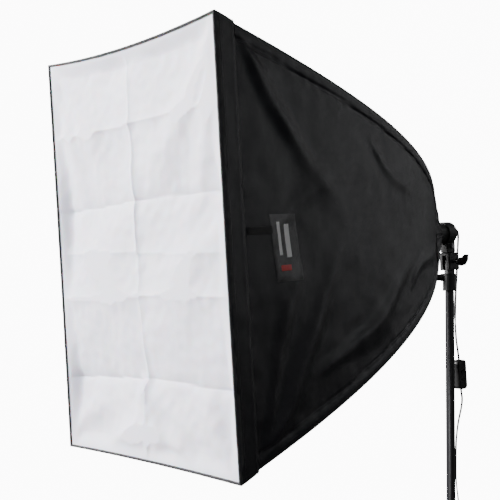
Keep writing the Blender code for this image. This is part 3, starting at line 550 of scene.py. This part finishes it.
@made_once
def bright_metal(name="chrome_plate", colour=(0.86, 0.87, 0.89), low=0.18, high=0.34):
    s = Shader(name, colour, low, 1.0)
    marks = s.noise(260.0, 4.0, s.stretched(s.place, (1.0, 0.15, 1.0)), 0.6)
    s.wear(marks, low, high, 0.75)
    s.bump(marks, 0.08, 0.0002)
    return s.material


@made_once
def glazed_ceramic():
    s = Shader("glazed_ceramic", (0.86, 0.85, 0.80), 0.25, Coat_Weight=0.4, Coat_Roughness=0.1)
    s.mottle(s.noise(60.0), 0.4, 0.7, (0.88, 0.87, 0.82), (0.78, 0.76, 0.70), 0.6)
    s.bump(s.noise(300.0), 0.15, 0.0002)
    return s.material


@made_once
def lamp_tube():
    s = Shader("lamp_tube", (0.93, 0.93, 0.90), 0.18, Coat_Weight=0.6, Coat_Roughness=0.05)
    s.mottle(s.noise(35.0, 5.0), 0.35, 0.75, (0.94, 0.94, 0.91), (0.88, 0.88, 0.84))
    s.bump(s.noise(180.0), 0.05, 0.0003)
    return s.material


@made_once
def lamp_housing():
    s = Shader("lamp_housing", (0.88, 0.88, 0.85), 0.30)
    s.mottle(s.noise(18.0, 5.0), 0.4, 0.8, (0.89, 0.89, 0.86), (0.83, 0.81, 0.74))
    s.bump(s.noise(800.0), 0.12, 0.0002)
    return s.material


@made_once
def rubber():
    s = Shader("rubber", (0.018, 0.018, 0.018), 0.75)
    s.mottle(s.noise(30.0, 6.0), 0.45, 0.75, (0.016, 0.016, 0.016), (0.060, 0.058, 0.054))
    s.bump(s.noise(500.0), 0.4, 0.0003)
    return s.material


@made_once
def flex():
    """Black PVC flex with faint dust."""
    s = Shader("flex", (0.013, 0.013, 0.014), 0.38, Specular_IOR_Level=0.5)
    s.wear(s.noise(120.0, 5.0), 0.30, 0.48)
    s.bump(s.noise(420.0, 3.0), 0.2, 0.0003)
    return s.material


# ---------------------------------------------------------------- shape of the cloth


def share_at(depth):
    return ((depth - BOW_START) / (FRONT_DEPTH - BOW_START)) ** BOW_POWER


def body_half(depth, sz=-1):
    """Half width, and height below the lamp's axis, or above it where sz is 1."""
    share = share_at(depth)
    run = (depth - SLEEVE_FRONT) / (FRONT_DEPTH - SKIRT_DEPTH - SLEEVE_FRONT)
    fullness = TOP_FULLNESS * max(1 - max(run, 0.0), 0.0) ** TOP_FULLNESS_POWER * (sz > 0)
    return share * (HALF_WIDTH - SKIRT_STEP), share * (HALF_HEIGHT - SKIRT_STEP) + fullness


def edge_sag(side, across, share):
    """How far an edge of the box pulls in between its corners: 0 at a corner, most at mid-span."""
    amount = {"top": 0.0115, "bottom": 0.0030, "side": 0.0012}[side]
    return amount * share * share * (1 - across * across)


def box_outline(t, w, h, sx, sz, share):
    """Point (x, z) of one quadrant's outline, t from 0 at x = 0 to 1 at z = 0, 0.5 at the corner."""
    if t <= 0.5:
        across = t / 0.5
        pull = edge_sag("top" if sz > 0 else "bottom", across, share)
        return sx * across * w, sz * (h - pull)
    along = 2 - t / 0.5
    return sx * (w - edge_sag("side", along, share)), sz * along * h


# Long tension folds of a side panel: (depth, rise) at both ends, half width, height
SIDE_FOLDS = (
    ((0.742, -0.318), (0.560, -0.110), 0.0085, 0.0050),
    ((0.735, -0.330), (0.470, 0.015), 0.0100, 0.0042),
    ((0.738, -0.300), (0.610, -0.030), 0.0075, 0.0034),
    ((0.742, 0.322), (0.590, 0.130), 0.0080, 0.0034),
    ((0.735, 0.300), (0.500, 0.060), 0.0100, 0.0030),
    ((0.560, -0.215), (0.330, -0.120), 0.0095, 0.0036),
    ((0.480, -0.175), (0.250, -0.060), 0.0080, 0.0032),
    ((0.380, 0.160), (0.230, 0.070), 0.0080, 0.0030),
    ((0.260, -0.090), (0.130, -0.020), 0.0070, 0.0030),
    ((0.660, 0.050), (0.480, 0.110), 0.0110, 0.0026),
)
# The same for a top or bottom panel: (depth, across)
TOP_FOLDS = (
    ((0.742, 0.225), (0.560, 0.080), 0.0085, 0.0040),
    ((0.738, 0.210), (0.620, 0.020), 0.0080, 0.0034),
    ((0.735, -0.222), (0.580, -0.070), 0.0085, 0.0038),
    ((0.560, 0.150), (0.340, 0.060), 0.0090, 0.0034),
    ((0.450, -0.120), (0.240, -0.030), 0.0080, 0.0032),
    ((0.300, 0.070), (0.150, 0.015), 0.0070, 0.0028),
)
SLEEVE_BAND = 0.0240
OUTLINE_STEPS = 160
STITCH_LENGTH = 0.0030
STITCH_GAP = 0.0014
STITCH_RADIUS = 0.00035
PANEL_SEEDS = {"top": 1, "bottom": 7, "left": 13, "right": 19}


def fold_height(folds, u, v):
    """Height of a list of long folds at one place on the cloth."""
    total = 0.0
    for (u0, v0), (u1, v1), width, height in folds:
        du, dv = u1 - u0, v1 - v0
        along = ((u - u0) * du + (v - v0) * dv) / (du * du + dv * dv)
        if not -0.15 < along < 1.15:
            continue
        wander = 0.010 * math.sin(5.0 * along + 37.0 * v0)
        off = ((u - u0) * dv - (v - v0) * du) / math.hypot(du, dv) + wander
        fade = smoothstep((along + 0.15) / 0.3) * smoothstep((1.15 - along) / 0.5)
        spread = width * (1 + 1.3 * max(along, 0.0))
        total += height * fade * math.exp(-(off / spread) ** 2)
    return total


def cloth_relief(panel, depth, across, edge):
    """Height of the folds, seams and puckers on a body panel. edge is the distance to the corner."""
    folds = SIDE_FOLDS if panel in ("left", "right") else TOP_FOLDS
    flip = -1.0 if panel in ("left", "bottom") else 1.0
    relief = FOLD_GAIN * fold_height(folds, depth, across * flip)
    seat = Vector((depth * 9.0, across * 9.0, PANEL_SEEDS[panel]))
    relief += 0.0030 * noise.noise(seat) + 0.0012 * noise.noise(seat * 3.1)
    front = (FRONT_DEPTH - SKIRT_DEPTH) - depth
    pucker = math.exp(-max(front, 0.0) / 0.030)
    relief += 0.0012 * pucker * noise.noise(Vector((across * 48.0, depth * 12.0, seat.z)))
    rear = math.exp(-max(depth - SLEEVE_FRONT, 0.0) / 0.050)
    relief += 0.0016 * rear * noise.noise(Vector((across * 70.0, depth * 10.0, seat.z + 3)))
    relief *= smoothstep(edge / 0.050)
    if edge < SLEEVE_BAND:
        relief += 0.0022 * math.sin(math.pi * edge / SLEEVE_BAND) ** 0.7 * smoothstep(edge / 0.006)
    relief -= 0.0012 * math.exp(-((edge - SLEEVE_BAND) / 0.0022) ** 2)
    stitch = noise.noise(Vector((depth * 60.0, edge * 20.0, seat.z + 9)))
    relief += 0.0010 * stitch * math.exp(-((edge - SLEEVE_BAND) / 0.014) ** 2)
    return relief - 0.0016


def body_point(depth, t, sx, sz, inset):
    """A point of the body's cloth, in world metres."""
    w, h = body_half(depth, sz)
    x, z = box_outline(t, w, h, sx, sz, share_at(depth))
    if t <= 0.5:
        panel, across, edge = ("top" if sz > 0 else "bottom"), x, w - abs(x)
        outward = Vector((0, 0, sz))
    else:
        panel, across, edge = ("right" if sx > 0 else "left"), z, h - abs(z)
        outward = Vector((sx, 0, 0))
    lift = cloth_relief(panel, depth, across, edge) - inset
    ridge = smoothstep(edge / 0.004)
    outward = outward * ridge + Vector((sx, 0, sz)).normalized() * (1 - ridge)
    return head_world(x + outward.x * lift, depth, z + outward.z * lift)


def quadrant_stations(fine):
    """t values of a quadrant, closer together by the corner's seams."""
    half = [0.5 * (1 - (1 - i / fine) ** 1.35) for i in range(fine)]
    return half + [0.5] + [1 - t for t in reversed(half)]


def follow_ribs(obj):
    """Bakes the piece's world placement into its mesh.
    """
    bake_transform(obj)


def body_cloth():
    """Outer nylon and silver lining of the body, one sheet per quadrant."""
    count = 88
    depths = [SLEEVE_FRONT + (FRONT_DEPTH - SKIRT_DEPTH - SLEEVE_FRONT) * (i / count) ** 1.15
              for i in range(count + 1)]
    for number, (sx, sz) in enumerate(QUADRANTS, 1):
        for name, inset, facing, fine, material in (
                ("body_cloth", 0.0, 1, 46, black_nylon()),
                ("body_lining", LINING_INSET, -1, 24, silver_lining())):
            ts = quadrant_stations(fine)
            levels = depths if inset == 0.0 else depths[::2]

            def point(depth, t):
                return body_point(depth, t, sx, sz, inset)

            rows = [[point(d, t) for t in ts] for d in levels]
            marks = [[(math.copysign(t, sx) * OUTLINE_RUN, d * 1.05) for t in ts] for d in levels]
            inner = [t if abs(t - 0.5) > 1e-6 else 0.4995 for t in ts]
            normals = grid_normals(point, levels, inner)
            obj = grid_object(f"{name}_{number}", rows, marks, material, normals, facing)
            follow_ribs(obj)
    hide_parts("panel_top", "panel_bottom", "panel_left", "panel_right")


def frame_point(t, depth, inset, sx, sz):
    """A point of the skirt's outline, inset from its outer face, in head coordinates."""
    w, h = body_half(depth)
    grow = SKIRT_STEP - inset
    return box_outline(t, w + grow, h + grow, sx, sz, share_at(depth))


def profile_marks(profile, ts):
    """UV coordinates, in metres, of a cloth whose rows follow a profile round the outline."""
    marks, run, before = [], 0.0, profile[0]
    for depth, inset in profile:
        run += math.hypot(depth - before[0], inset - before[1])
        marks.append([(t * OUTLINE_RUN, run) for t in ts])
        before = (depth, inset)
    return marks


def skirt():
    """Front skirt: the band of cloth in front of the body, hemmed and bound at the front edge."""
    back = FRONT_DEPTH - SKIRT_DEPTH
    ts = quadrant_stations(40)
    profile = [(back + 0.004, 0.0040), (back, 0.0032), (back - 0.0004, 0.0022)]
    profile += [(back + 0.0030 + (SKIRT_DEPTH - 0.0070) * i / 10, 0.0010 * (1 - i / 10) ** 2)
                for i in range(11)]
    profile += [(FRONT_DEPTH - 0.0020, 0.0005), (FRONT_DEPTH - 0.0012, 0.0022),
                (FRONT_DEPTH - 0.0030, 0.0034), (FRONT_DEPTH - 0.030, 0.0040)]
    for number, (sx, sz) in enumerate(QUADRANTS, 1):
        def row(depth, inset):
            found = []
            for t in ts:
                x, z = frame_point(t, depth, inset, sx, sz)
                side = t > 0.5
                seat = Vector((x * 34, z * 34, 3.0 if side else 8.0))
                edge = min(abs(t - 0.5), 0.08) / 0.08
                ripple = noise.noise(seat) * 0.0013 + noise.noise(seat * 0.3) * 0.0018
                middle = math.sin(math.pi * min(max((depth - back) / SKIRT_DEPTH, 0), 1))
                ripple = (ripple - 0.0008) * edge * (0.35 + 0.65 * middle)
                x += ripple * sx * side
                z += ripple * sz * (not side)
                found.append(head_world(x, depth, z))
            return found

        rows = [row(d, inset) for d, inset in profile]
        obj = grid_object(f"skirt_cloth_{number}", rows, profile_marks(profile, ts), black_nylon())
        follow_ribs(obj)
        binding(number, sx, sz)
        seams(number, sx, sz, back)
        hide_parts("front_skirt")


def outline_path(sx, sz, depth, inset):
    """A line round one quadrant of the skirt."""
    points = []
    for i in range(OUTLINE_STEPS + 1):
        x, z = frame_point(i / OUTLINE_STEPS, depth, inset, sx, sz)
        points.append(head_world(x, depth, z))
    return points


def binding(number, sx, sz):
    """Tape folded over the front edge, which shows as the dark border round the diffuser."""
    ts = quadrant_stations(44)
    half = BINDING_WIDTH
    profile = ((FRONT_DEPTH - 0.0100, 0.0003), (FRONT_DEPTH - 0.0020, -0.0001),
               (FRONT_DEPTH - 0.0002, 0.0008), (FRONT_DEPTH + 0.0003, 0.0025),
               (FRONT_DEPTH + 0.0002, half - 0.001), (FRONT_DEPTH - 0.0006, half),
               (FRONT_DEPTH - 0.0030, half - 0.0006))
    rows = []
    for depth, inset in profile:
        row = []
        for t in ts:
            x, z = frame_point(t, min(depth, FRONT_DEPTH), inset, sx, sz)
            seat = Vector((x * 60, z * 60, inset * 90))
            row.append(head_world(x, depth + 0.0005 * noise.noise(seat), z))
        rows.append(row)
    obj = grid_object(f"front_binding_{number}", rows, profile_marks(profile, ts), binding_tape())
    follow_ribs(obj)


def stitches(name, number, path):
    """A row of stitches along a path, one short rounded thread each."""
    bm = bmesh.new()
    walked, start = 0.0, 0.0
    for p, q in zip(path, path[1:]):
        length = (q - p).length
        while start + STITCH_LENGTH <= walked + length:
            a = p.lerp(q, max(start - walked, 0) / length)
            b = p.lerp(q, (start + STITCH_LENGTH - walked) / length)
            add_stitch(bm, a, b)
            start += STITCH_LENGTH + STITCH_GAP
        walked += length
        start = max(start, walked)
    obj = mesh_object(f"{name}_{number}", bm, thread())
    follow_ribs(obj)


def add_stitch(bm, a, b):
    way = (b - a).normalized()
    side = way.orthogonal().normalized()
    up = way.cross(side)
    rings = []
    for share, size in ((0.0, 0.35), (0.2, 1.0), (0.8, 1.0), (1.0, 0.35)):
        centre = a.lerp(b, share)
        rings.append([bm.verts.new(centre + (side * math.cos(k * math.pi / 2)
                                             + up * math.sin(k * math.pi / 2))
                                   * STITCH_RADIUS * size)
                      for k in range(4)])
    for near, far in zip(rings, rings[1:]):
        for k in range(4):
            bm.faces.new((near[k], near[(k + 1) % 4], far[(k + 1) % 4], far[k]))
    bm.faces.new(list(reversed(rings[0])))
    bm.faces.new(rings[-1])


def seams(number, sx, sz, back):
    """Stitches along the skirt's rear hem, along its front and along the rib sleeves' seams."""
    for name, depth in (("hem_stitches", back + 0.0050), ("front_stitches", FRONT_DEPTH - 0.0125)):
        stitches(name, number, outline_path(sx, sz, depth, -0.0002))
    for side, shift in (("side", 1), ("flat", -1)):
        path = []
        for i in range(121):
            depth = SLEEVE_FRONT + 0.012 + (back - SLEEVE_FRONT - 0.018) * i / 120
            w, h = body_half(depth, sz)
            reach = h if shift > 0 else w
            t = 0.5 + shift * 0.5 * (SLEEVE_BAND + 0.0016) / reach
            path.append(body_point(depth, t, sx, sz, -0.0004))
        stitches(f"rib_seam_{side}", number, path)


# ---------------------------------------------------------------- diffuser

# Package creases across the diffuser: rise, height
FLAT_CREASES = ((0.216, 0.0030), (0.085, -0.0026), (0.000, 0.0016), (-0.072, 0.0030),
                (-0.214, -0.0034))
# Drape folds: (across, rise) at both ends, half width, height
DRAPES = (
    ((-0.240, 0.335), (-0.060, 0.120), 0.014, 0.0046),
    ((0.240, 0.332), (0.050, 0.110), 0.014, 0.0046),
    ((-0.245, 0.325), (-0.150, 0.040), 0.012, 0.0036),
    ((0.243, 0.325), (0.150, 0.030), 0.012, 0.0036),
    ((0.000, -0.214), (0.030, -0.345), 0.013, 0.0052),
    ((0.000, -0.214), (-0.060, -0.340), 0.015, 0.0044),
    ((0.010, -0.216), (0.110, -0.320), 0.014, 0.0036),
    ((-0.240, -0.335), (-0.120, -0.230), 0.013, 0.0040),
    ((0.240, -0.338), (0.140, -0.210), 0.013, 0.0040),
    ((-0.200, 0.060), (-0.080, -0.060), 0.018, 0.0030),
    ((0.210, 0.040), (0.090, -0.080), 0.018, 0.0030),
)
CREASE_WIDTH = 0.0075
UPRIGHT_CREASE = 0.0028
DIFFUSER_INSET = 0.0036
DIFFUSER_SINK = 0.0090
DIFFUSER_GAIN = 1.55
DIFFUSER_COLUMNS = 76
DIFFUSER_ROWS = 104


def diffuser_relief(x, z):
    """Height of the creases, drapes and slack of the diffuser's cloth."""
    total = 0.0
    for rise, height in FLAT_CREASES:
        off = z - rise + 0.004 * math.sin(9.0 * x + 40 * rise) + 0.012 * abs(x)
        total += height * math.exp(-abs(off) / CREASE_WIDTH)
        total += 0.6 * height * math.exp(-(off / 0.040) ** 2)
    off = x + 0.003 * math.sin(8 * z)
    total += UPRIGHT_CREASE * math.exp(-abs(off) / CREASE_WIDTH) * (1 + 0.5 * math.sin(14 * z))
    total += fold_height(DRAPES, x, z)
    seat = Vector((x * 6.0, z * 6.0, 31.0))
    total += 0.0060 * noise.noise(seat) + 0.0022 * noise.noise(seat * 2.7)
    total += 0.0008 * noise.noise(seat * 9.0)
    scallop = z + 0.300 + 0.030 * (x / 0.12) ** 2
    total += 0.0050 * math.exp(-(scallop / 0.020) ** 2) * smoothstep((0.16 - abs(x)) / 0.08)
    return total


def diffuser_point(across, up, sx, sz):
    """across and up run from 0 at the middle to 1 at the edge of one quadrant."""
    depth = FRONT_DEPTH - 0.0024
    top = "top" if sz > 0 else "bottom"
    w = HALF_WIDTH - DIFFUSER_INSET - edge_sag("side", up, 1.0)
    h = HALF_HEIGHT - DIFFUSER_INSET - edge_sag(top, across, 1.0)
    x, z = sx * across * w, sz * up * h
    free = smoothstep((1 - across) * HALF_WIDTH / 0.030)
    free *= smoothstep((1 - up) * HALF_HEIGHT / 0.030)
    sink = DIFFUSER_SINK - diffuser_relief(x, z) * DIFFUSER_GAIN
    return head_world(x, depth - max(sink, -0.001) * free, z)


def diffuser():
    """One cloth, cut into quarters that share their edges."""
    shares = [i / DIFFUSER_COLUMNS for i in range(DIFFUSER_COLUMNS + 1)]
    ups = [i / DIFFUSER_ROWS for i in range(DIFFUSER_ROWS + 1)]
    for number, (sx, sz) in enumerate(QUADRANTS, 1):
        def point(up, across):
            return diffuser_point(across, up, sx, sz)

        rows = [[point(up, across) for across in shares] for up in ups]
        marks = [[(sx * across * HALF_WIDTH, sz * up * HALF_HEIGHT) for across in shares]
                 for up in ups]
        normals = grid_normals(point, ups, shares)
        obj = grid_object(f"diffuser_{number}", rows, marks, white_nylon(), normals)
        follow_ribs(obj)
        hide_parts("diffuser")


# ---------------------------------------------------------------- rear sleeve, label and tab


def sleeve_point(share, turn):
    """Gathered cloth from the body's rear end to the elastic round the lamp holder."""
    depth = SLEEVE_FRONT + 0.0002 + (SLEEVE_REAR - SLEEVE_FRONT) * share
    c, s = math.cos(turn), math.sin(turn)
    w, h = body_half(SLEEVE_FRONT, 1 if s > 0 else -1)
    reach = min(w / max(abs(c), 1e-6), h / max(abs(s), 1e-6))
    ease = max(1 - share, 0.0) ** SLEEVE_TAPER
    mouth = HOLDER_RADIUS + 0.0024
    radius = mouth * (1 - ease) + reach * ease
    pleats = math.sin(22 * turn + 2.0 * math.sin(3 * turn)) + 0.5 * math.sin(37 * turn + 1.0)
    radius += 0.0015 * pleats * smoothstep(share / 0.25) * (1 - 0.3 * share)
    radius += 0.0008 * noise.noise(Vector((c * 3, s * 3, share * 4)))
    return head_world(radius * c, depth, radius * s)


def rear_sleeve():
    """The gathered sleeve and its elastic cuff."""
    columns, levels, around = 220, 22, 96
    turns = [2 * math.pi * i / columns for i in range(columns + 1)]
    shares = [(i / levels) ** 0.8 for i in range(levels + 1)]
    rows = [[sleeve_point(share, turn) for turn in turns] for share in shares]
    marks = [[(turn * 0.04, share * 0.08) for turn in turns] for share in shares]
    obj = grid_object("sleeve_cloth", rows, marks, black_nylon())
    carry(obj, "head")
    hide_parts("rear_sleeve")
    ring = []
    for i in range(around):
        turn = 2 * math.pi * i / around
        radius = HOLDER_RADIUS + 0.0030 + 0.0007 * math.sin(23 * turn)
        ring.append(head_world(radius * math.cos(turn), SLEEVE_REAR + 0.0016, radius * math.sin(turn)))
    sections = [circle_section(0.0021, 8)] * around
    cuff = ring_sweep("sleeve_cuff", ring, sections, binding_tape(), True)
    carry(cuff, "head")


def side_patch(name, depths, rises, lift, material, fine=(14, 20), lean=0.11):
    """A small sewn piece on the right panel, between two depths and two rises."""
    rows, marks = [], []
    for i in range(fine[1] + 1):
        share = i / fine[1]
        row, mark = [], []
        for k in range(fine[0] + 1):
            part = k / fine[0]
            depth = depths[0] + (depths[1] - depths[0]) * part
            rise = rises[0] + (rises[1] - rises[0]) * share
            depth += lean * (rise - 0.5 * (rises[0] + rises[1]))
            sx, sz = 1, 1 if rise >= 0 else -1
            t = 1 - 0.5 * abs(rise) / body_half(depth, sz)[1]
            rim = min(part, 1 - part, share, 1 - share)
            height = lift - 0.0010 * (rim < 0.01)
            row.append(body_point(depth, t, sx, sz, -height))
            mark.append((depth, rise))
        rows.append(row)
        marks.append(mark)
    carry(grid_object(name, rows, marks, material), "head")


def label_and_tab():
    """Label with plain bars and a plain patch, and a hook-and-loop tab at the skirt's seam."""
    side_patch("side_label", (0.618, 0.684), (-0.058, 0.048), 0.0014, label_cloth())
    side_patch("label_stripe", (0.664, 0.673), (-0.018, 0.038), 0.0019, label_stripe(), (6, 16))
    side_patch("label_band", (0.640, 0.655), (-0.022, 0.034), 0.0019, label_stripe(), (8, 16))
    side_patch("label_mark", (0.640, 0.670), (-0.042, -0.031), 0.0019, label_mark(), (8, 6))
    side_patch("closure_tab", (0.684, 0.742), (0.018, 0.030), 0.0018, hook_tape(), lean=0.0)


# ---------------------------------------------------------------- bulb


def spiral_bulb():
    """Double-helix fluorescent tube on the ballast housing."""
    low, high = 0.1835, 0.3220
    radius, root_radius, tube_radius = 0.0235, 0.010, 0.0052
    full_turn = 2 * math.pi * 3.25
    steps, bridge_steps = 240, 24
    section = circle_section(tube_radius, 12)
    made = []
    for number, phase in enumerate((0.0, math.pi), 1):
        path = []
        for i in range(steps + 1):
            share = i / steps
            turn = phase + full_turn * share
            rise = low + (high - low) * share
            spread = max(radius * smoothstep(share / 0.06) ** 0.5, root_radius)
            path.append(head_world(spread * math.cos(turn), rise, spread * math.sin(turn)))
        made.append(ring_sweep(f"spiral_tube_{number}", path, [section] * len(path), lamp_tube()))
    bridge = []
    for i in range(bridge_steps + 1):
        share = i / bridge_steps
        across = radius * math.cos(math.pi * share)
        rise = high + 0.0026 * math.sin(math.pi * share)
        bridge.append(head_world(across * math.cos(full_turn), rise, across * math.sin(full_turn)))
    made.append(ring_sweep("spiral_bridge", bridge, [section] * len(bridge), lamp_tube()))
    for obj in made:
        carry(obj, "bulb")
    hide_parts("bulb_spiral")


# ---------------------------------------------------------------- lead


def flex_section(twist):
    """Figure-of-eight outline of the flat twin flex, turned about its own line."""
    points = []
    half = CORD_THICKNESS / 2
    spread = CORD_WIDTH / 2 - half
    for side in (1, -1):
        for step in range(7):
            turn = math.radians(-75 + 150 * step / 6) + (math.pi if side < 0 else 0.0)
            a = side * spread + half * math.cos(turn)
            b = half * math.sin(turn)
            points.append((a * math.cos(twist) - b * math.sin(twist),
                           a * math.sin(twist) + b * math.cos(twist)))
    return points


def flex_cord(name, route, nodes, twists, pieces=(),
              extra=()):
    """One length of the lead along its route, twisted by a list of angles spread along it."""
    way = [(sum(across), STAND_Y + back, rise) for back, rise, *across in route]
    points = smooth_route(way, 0.006) + list(extra)
    count = len(points)
    sections = []
    for i in range(count):
        share = i / (count - 1)
        spot = share * (len(twists) - 1)
        k = min(int(spot), len(twists) - 2)
        mix = smoothstep(spot - k)
        sections.append(flex_section(math.radians(twists[k] * (1 - mix) + twists[k + 1] * mix)))
    obj = ring_sweep(name, points, sections, flex())
    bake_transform(obj)
    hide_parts(*nodes)


def coil_turns():
    """The wound end of the lead: a lower layer going in, an upper one coming out, and its tail."""
    low, high = COIL_LAYERS
    inner = COIL_OUTER - COIL_LOW_TURNS * CORD_WIDTH
    points = []
    for i in range(int(COIL_TURNS * COIL_STEPS) + 1):
        turns = i / COIL_STEPS
        if turns <= COIL_LOW_TURNS:
            radius = COIL_OUTER - turns * CORD_WIDTH
        else:
            radius = inner + (turns - COIL_LOW_TURNS) * CORD_WIDTH
        rise = low + (high - low) * smoothstep((turns - COIL_LOW_TURNS + 0.12) / 0.24)
        angle = 2 * math.pi * turns
        reach = Vector((radius * math.cos(angle), radius * math.sin(angle), rise))
        points.append(COIL_CENTRE + reach)
    tail = points[-1]
    end = COIL_CENTRE + Vector((-0.0335, COIL_RADIUS, 0.0034))
    for step in range(1, 9):
        share = step / 8
        slope = smoothstep((share - 0.25) / 0.75)
        points.append(Vector((tail.x + (end.x - tail.x) * share,
                              tail.y + (end.y - tail.y) * slope,
                              tail.z + (end.z - tail.z) * slope)))
    return points


def coil_tie():
    """Hook-and-loop strap round the coil, on the side away from the plug."""
    angle = math.radians(-38)
    out = Vector((math.cos(angle), math.sin(angle), 0))
    along = Vector((-math.sin(angle), math.cos(angle), 0))
    half_width, half_height, middle, lowest = 0.0098, 0.0062, 0.0056, 0.0012
    squareness, steps, cloth = 0.55, 24, 0.0009
    path = []
    for step in range(steps):
        turn = 2 * math.pi * step / steps
        c, s = math.cos(turn), math.sin(turn)
        a = math.copysign(abs(c) ** squareness, c) * half_width
        b = middle + math.copysign(abs(s) ** squareness, s) * half_height
        path.append(COIL_CENTRE + out * (COIL_RADIUS + a) + Vector((0, 0, max(b, lowest))))
    bm = bmesh.new()
    layer = bm.loops.layers.uv.new("metres")
    rows = [[bm.verts.new(p + along * side) for side in (-0.006, -0.002, 0.002, 0.006)] for p in path]
    for i, near in enumerate(rows):
        far = rows[(i + 1) % len(rows)]
        for a, b, c, d in zip(near, near[1:], far[1:], far):
            face = bm.faces.new((a, b, c, d))
            for loop, uv in zip(face.loops, ((0, 0), (0.004, 0), (0.004, 0.003), (0, 0.003))):
                loop[layer].uv = (uv[0], uv[1] + i * 0.003)
    bmesh.ops.recalc_face_normals(bm, faces=bm.faces)
    obj = mesh_object("coil_tie", bm, hook_tape())
    thick = obj.modifiers.new("thickness", "SOLIDIFY")
    thick.thickness = cloth
    thick.offset = 1.0
    carry(obj, "base")
    return obj


def lead():
    """The lead, in one length for each pair of bodies that it runs between."""
    flex_cord("flex_to_pan", ROUTE_TO_PAN, ["cord_to_pan"],
              (0, 0, 0, 0))
    flex_cord("flex_to_switch", ROUTE_TO_SWITCH, ["cord_to_switch"],
              (0, 0, 80, 90),
              ["inline_switch", "switch_rocker"])
    flex_cord("flex_to_mid", ROUTE_TO_MID, ["cord_to_mid"],
              (90, 60, 20, 80, 90))
    flex_cord("flex_to_plug", ROUTE_TO_COIL, ["cord_to_coil", "cord_coil"],
              (90, 60, 20, 0, 0, 0, 0, 0, 0),
              ["plug", coil_tie()], coil_turns()[1:])


# ---------------------------------------------------------------- small hardware


def turned(name, profile, place, material, body, sides):
    """A lathed piece on a placed axis."""
    bm = bmesh.new()
    layer = bm.loops.layers.uv.new("metres")
    rings = []
    for radius, rise in profile:
        if radius <= 0:
            rings.append([bm.verts.new((0, 0, rise))])
            continue
        rings.append([bm.verts.new((x, y, rise)) for x, y in circle_section(radius, sides)])
    for near, far in zip(rings, rings[1:]):
        for k in range(sides):
            m = (k + 1) % sides
            corners = [near[k % len(near)], near[m % len(near)], far[m % len(far)], far[k % len(far)]]
            corners = list(dict.fromkeys(corners))
            if len(corners) > 2:
                face = bm.faces.new(corners)
                for loop in face.loops:
                    loop[layer].uv = (k / sides, loop.vert.co.z)
    bmesh.ops.recalc_face_normals(bm, faces=bm.faces)
    bm.transform(place)
    carry(mesh_object(name, bm, material), body)


def along_axis(point, way):
    return Matrix.Translation(point) @ Vector(way).to_track_quat("Z", "Y").to_matrix().to_4x4()


def rivet_profile(radius, height):
    return [(radius, 0.0), (radius * 0.98, height * 0.35), (radius * 0.80, height * 0.75),
            (radius * 0.45, height * 0.95), (0.0, height)]


def rivets():
    """Domed rivets at the tops of the legs, at both ends of the braces."""
    steel = bright_metal("zinc_rivet", (0.50, 0.50, 0.51), 0.22, 0.40)
    for number, degrees in enumerate((-90.0, 30.0, 150.0), 1):
        turn = math.radians(degrees)
        way = Vector((math.cos(turn), math.sin(turn), 0))
        across = Vector((-math.sin(turn), math.cos(turn), 0))
        hinge = Vector((0, STAND_Y, LEG_HINGE_HEIGHT)) + way * HINGE_REACH
        foot_hinge = Vector((0, STAND_Y, BRACE_HINGE_HEIGHT)) + way * HINGE_REACH
        foot = Vector((0, STAND_Y, FOOT_HEIGHT)) + way * FOOT_REACH
        for name, centre, body, half in (
                ("leg_rivet", hinge, "leg_hub", 0.0088), ("brace_rivet", foot_hinge, "base", 0.0060),
                ("link_rivet", hinge.lerp(foot, LINK_SHARE), f"leg_{number}_body", 0.0060)):
            for side, letter in ((-1, "a"), (1, "b")):
                place = along_axis(centre + across * side * half, across * side)
                turned(f"{name}_{number}_{letter}", rivet_profile(0.0036, 0.0016), place, steel,
                       body, 20)


# ---------------------------------------------------------------- carried-over CAD nodes


def repaint():
    """Detailed finishes on the CAD nodes that show."""
    plastic = moulded_plastic()
    metal = tube_paint()
    chrome = bright_metal()
    drawn = bright_metal("spring_steel", (0.52, 0.52, 0.54), 0.22, 0.40)
    brass = bright_metal("plated_brass", (0.78, 0.62, 0.34), 0.15, 0.32)
    finishes = {
        metal: ["lower_tube", "mid_tube", "top_tube"] + [f"leg_{i}" for i in (1, 2, 3)]
        + [f"brace_{i}" for i in (1, 2, 3)],
        plastic: ["lower_clamp", "mid_clamp", "lower_clamp_knob", "mid_clamp_knob", "leg_collar",
                  "leg_collar_knob", "brace_collar", "stand_adapter", "adapter_knob", "tilt_block",
                  "tilt_knob", "holder_bracket", "holder_body", "rear_cap", "rib_hub",
                  "inline_switch", "switch_rocker", "plug"],
        chrome: ["spigot", "tilt_bolt", "bracket_bolt"],
        drawn: [f"rib_{i}" for i in range(1, 5)] + [f"rib_pin_{i}" for i in range(1, 5)],
        brass: ["screw_shell", "bulb_cap"],
        glazed_ceramic(): ["socket_insert"],
        lamp_housing(): ["bulb_ballast"],
        rubber(): ["foot_1", "foot_2", "foot_3", "strain_relief"],
    }
    for material, names in finishes.items():
        for name in names:
            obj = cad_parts[name]
            if not obj.material_slots:
                obj.data.materials.append(material)
            for slot in obj.material_slots:
                slot.material = material


camera()
stage_and_light()
lead()
repaint()
body_cloth()
skirt()
diffuser()
rear_sleeve()
label_and_tab()
spiral_bulb()
rivets()

bpy.context.view_layer.update()
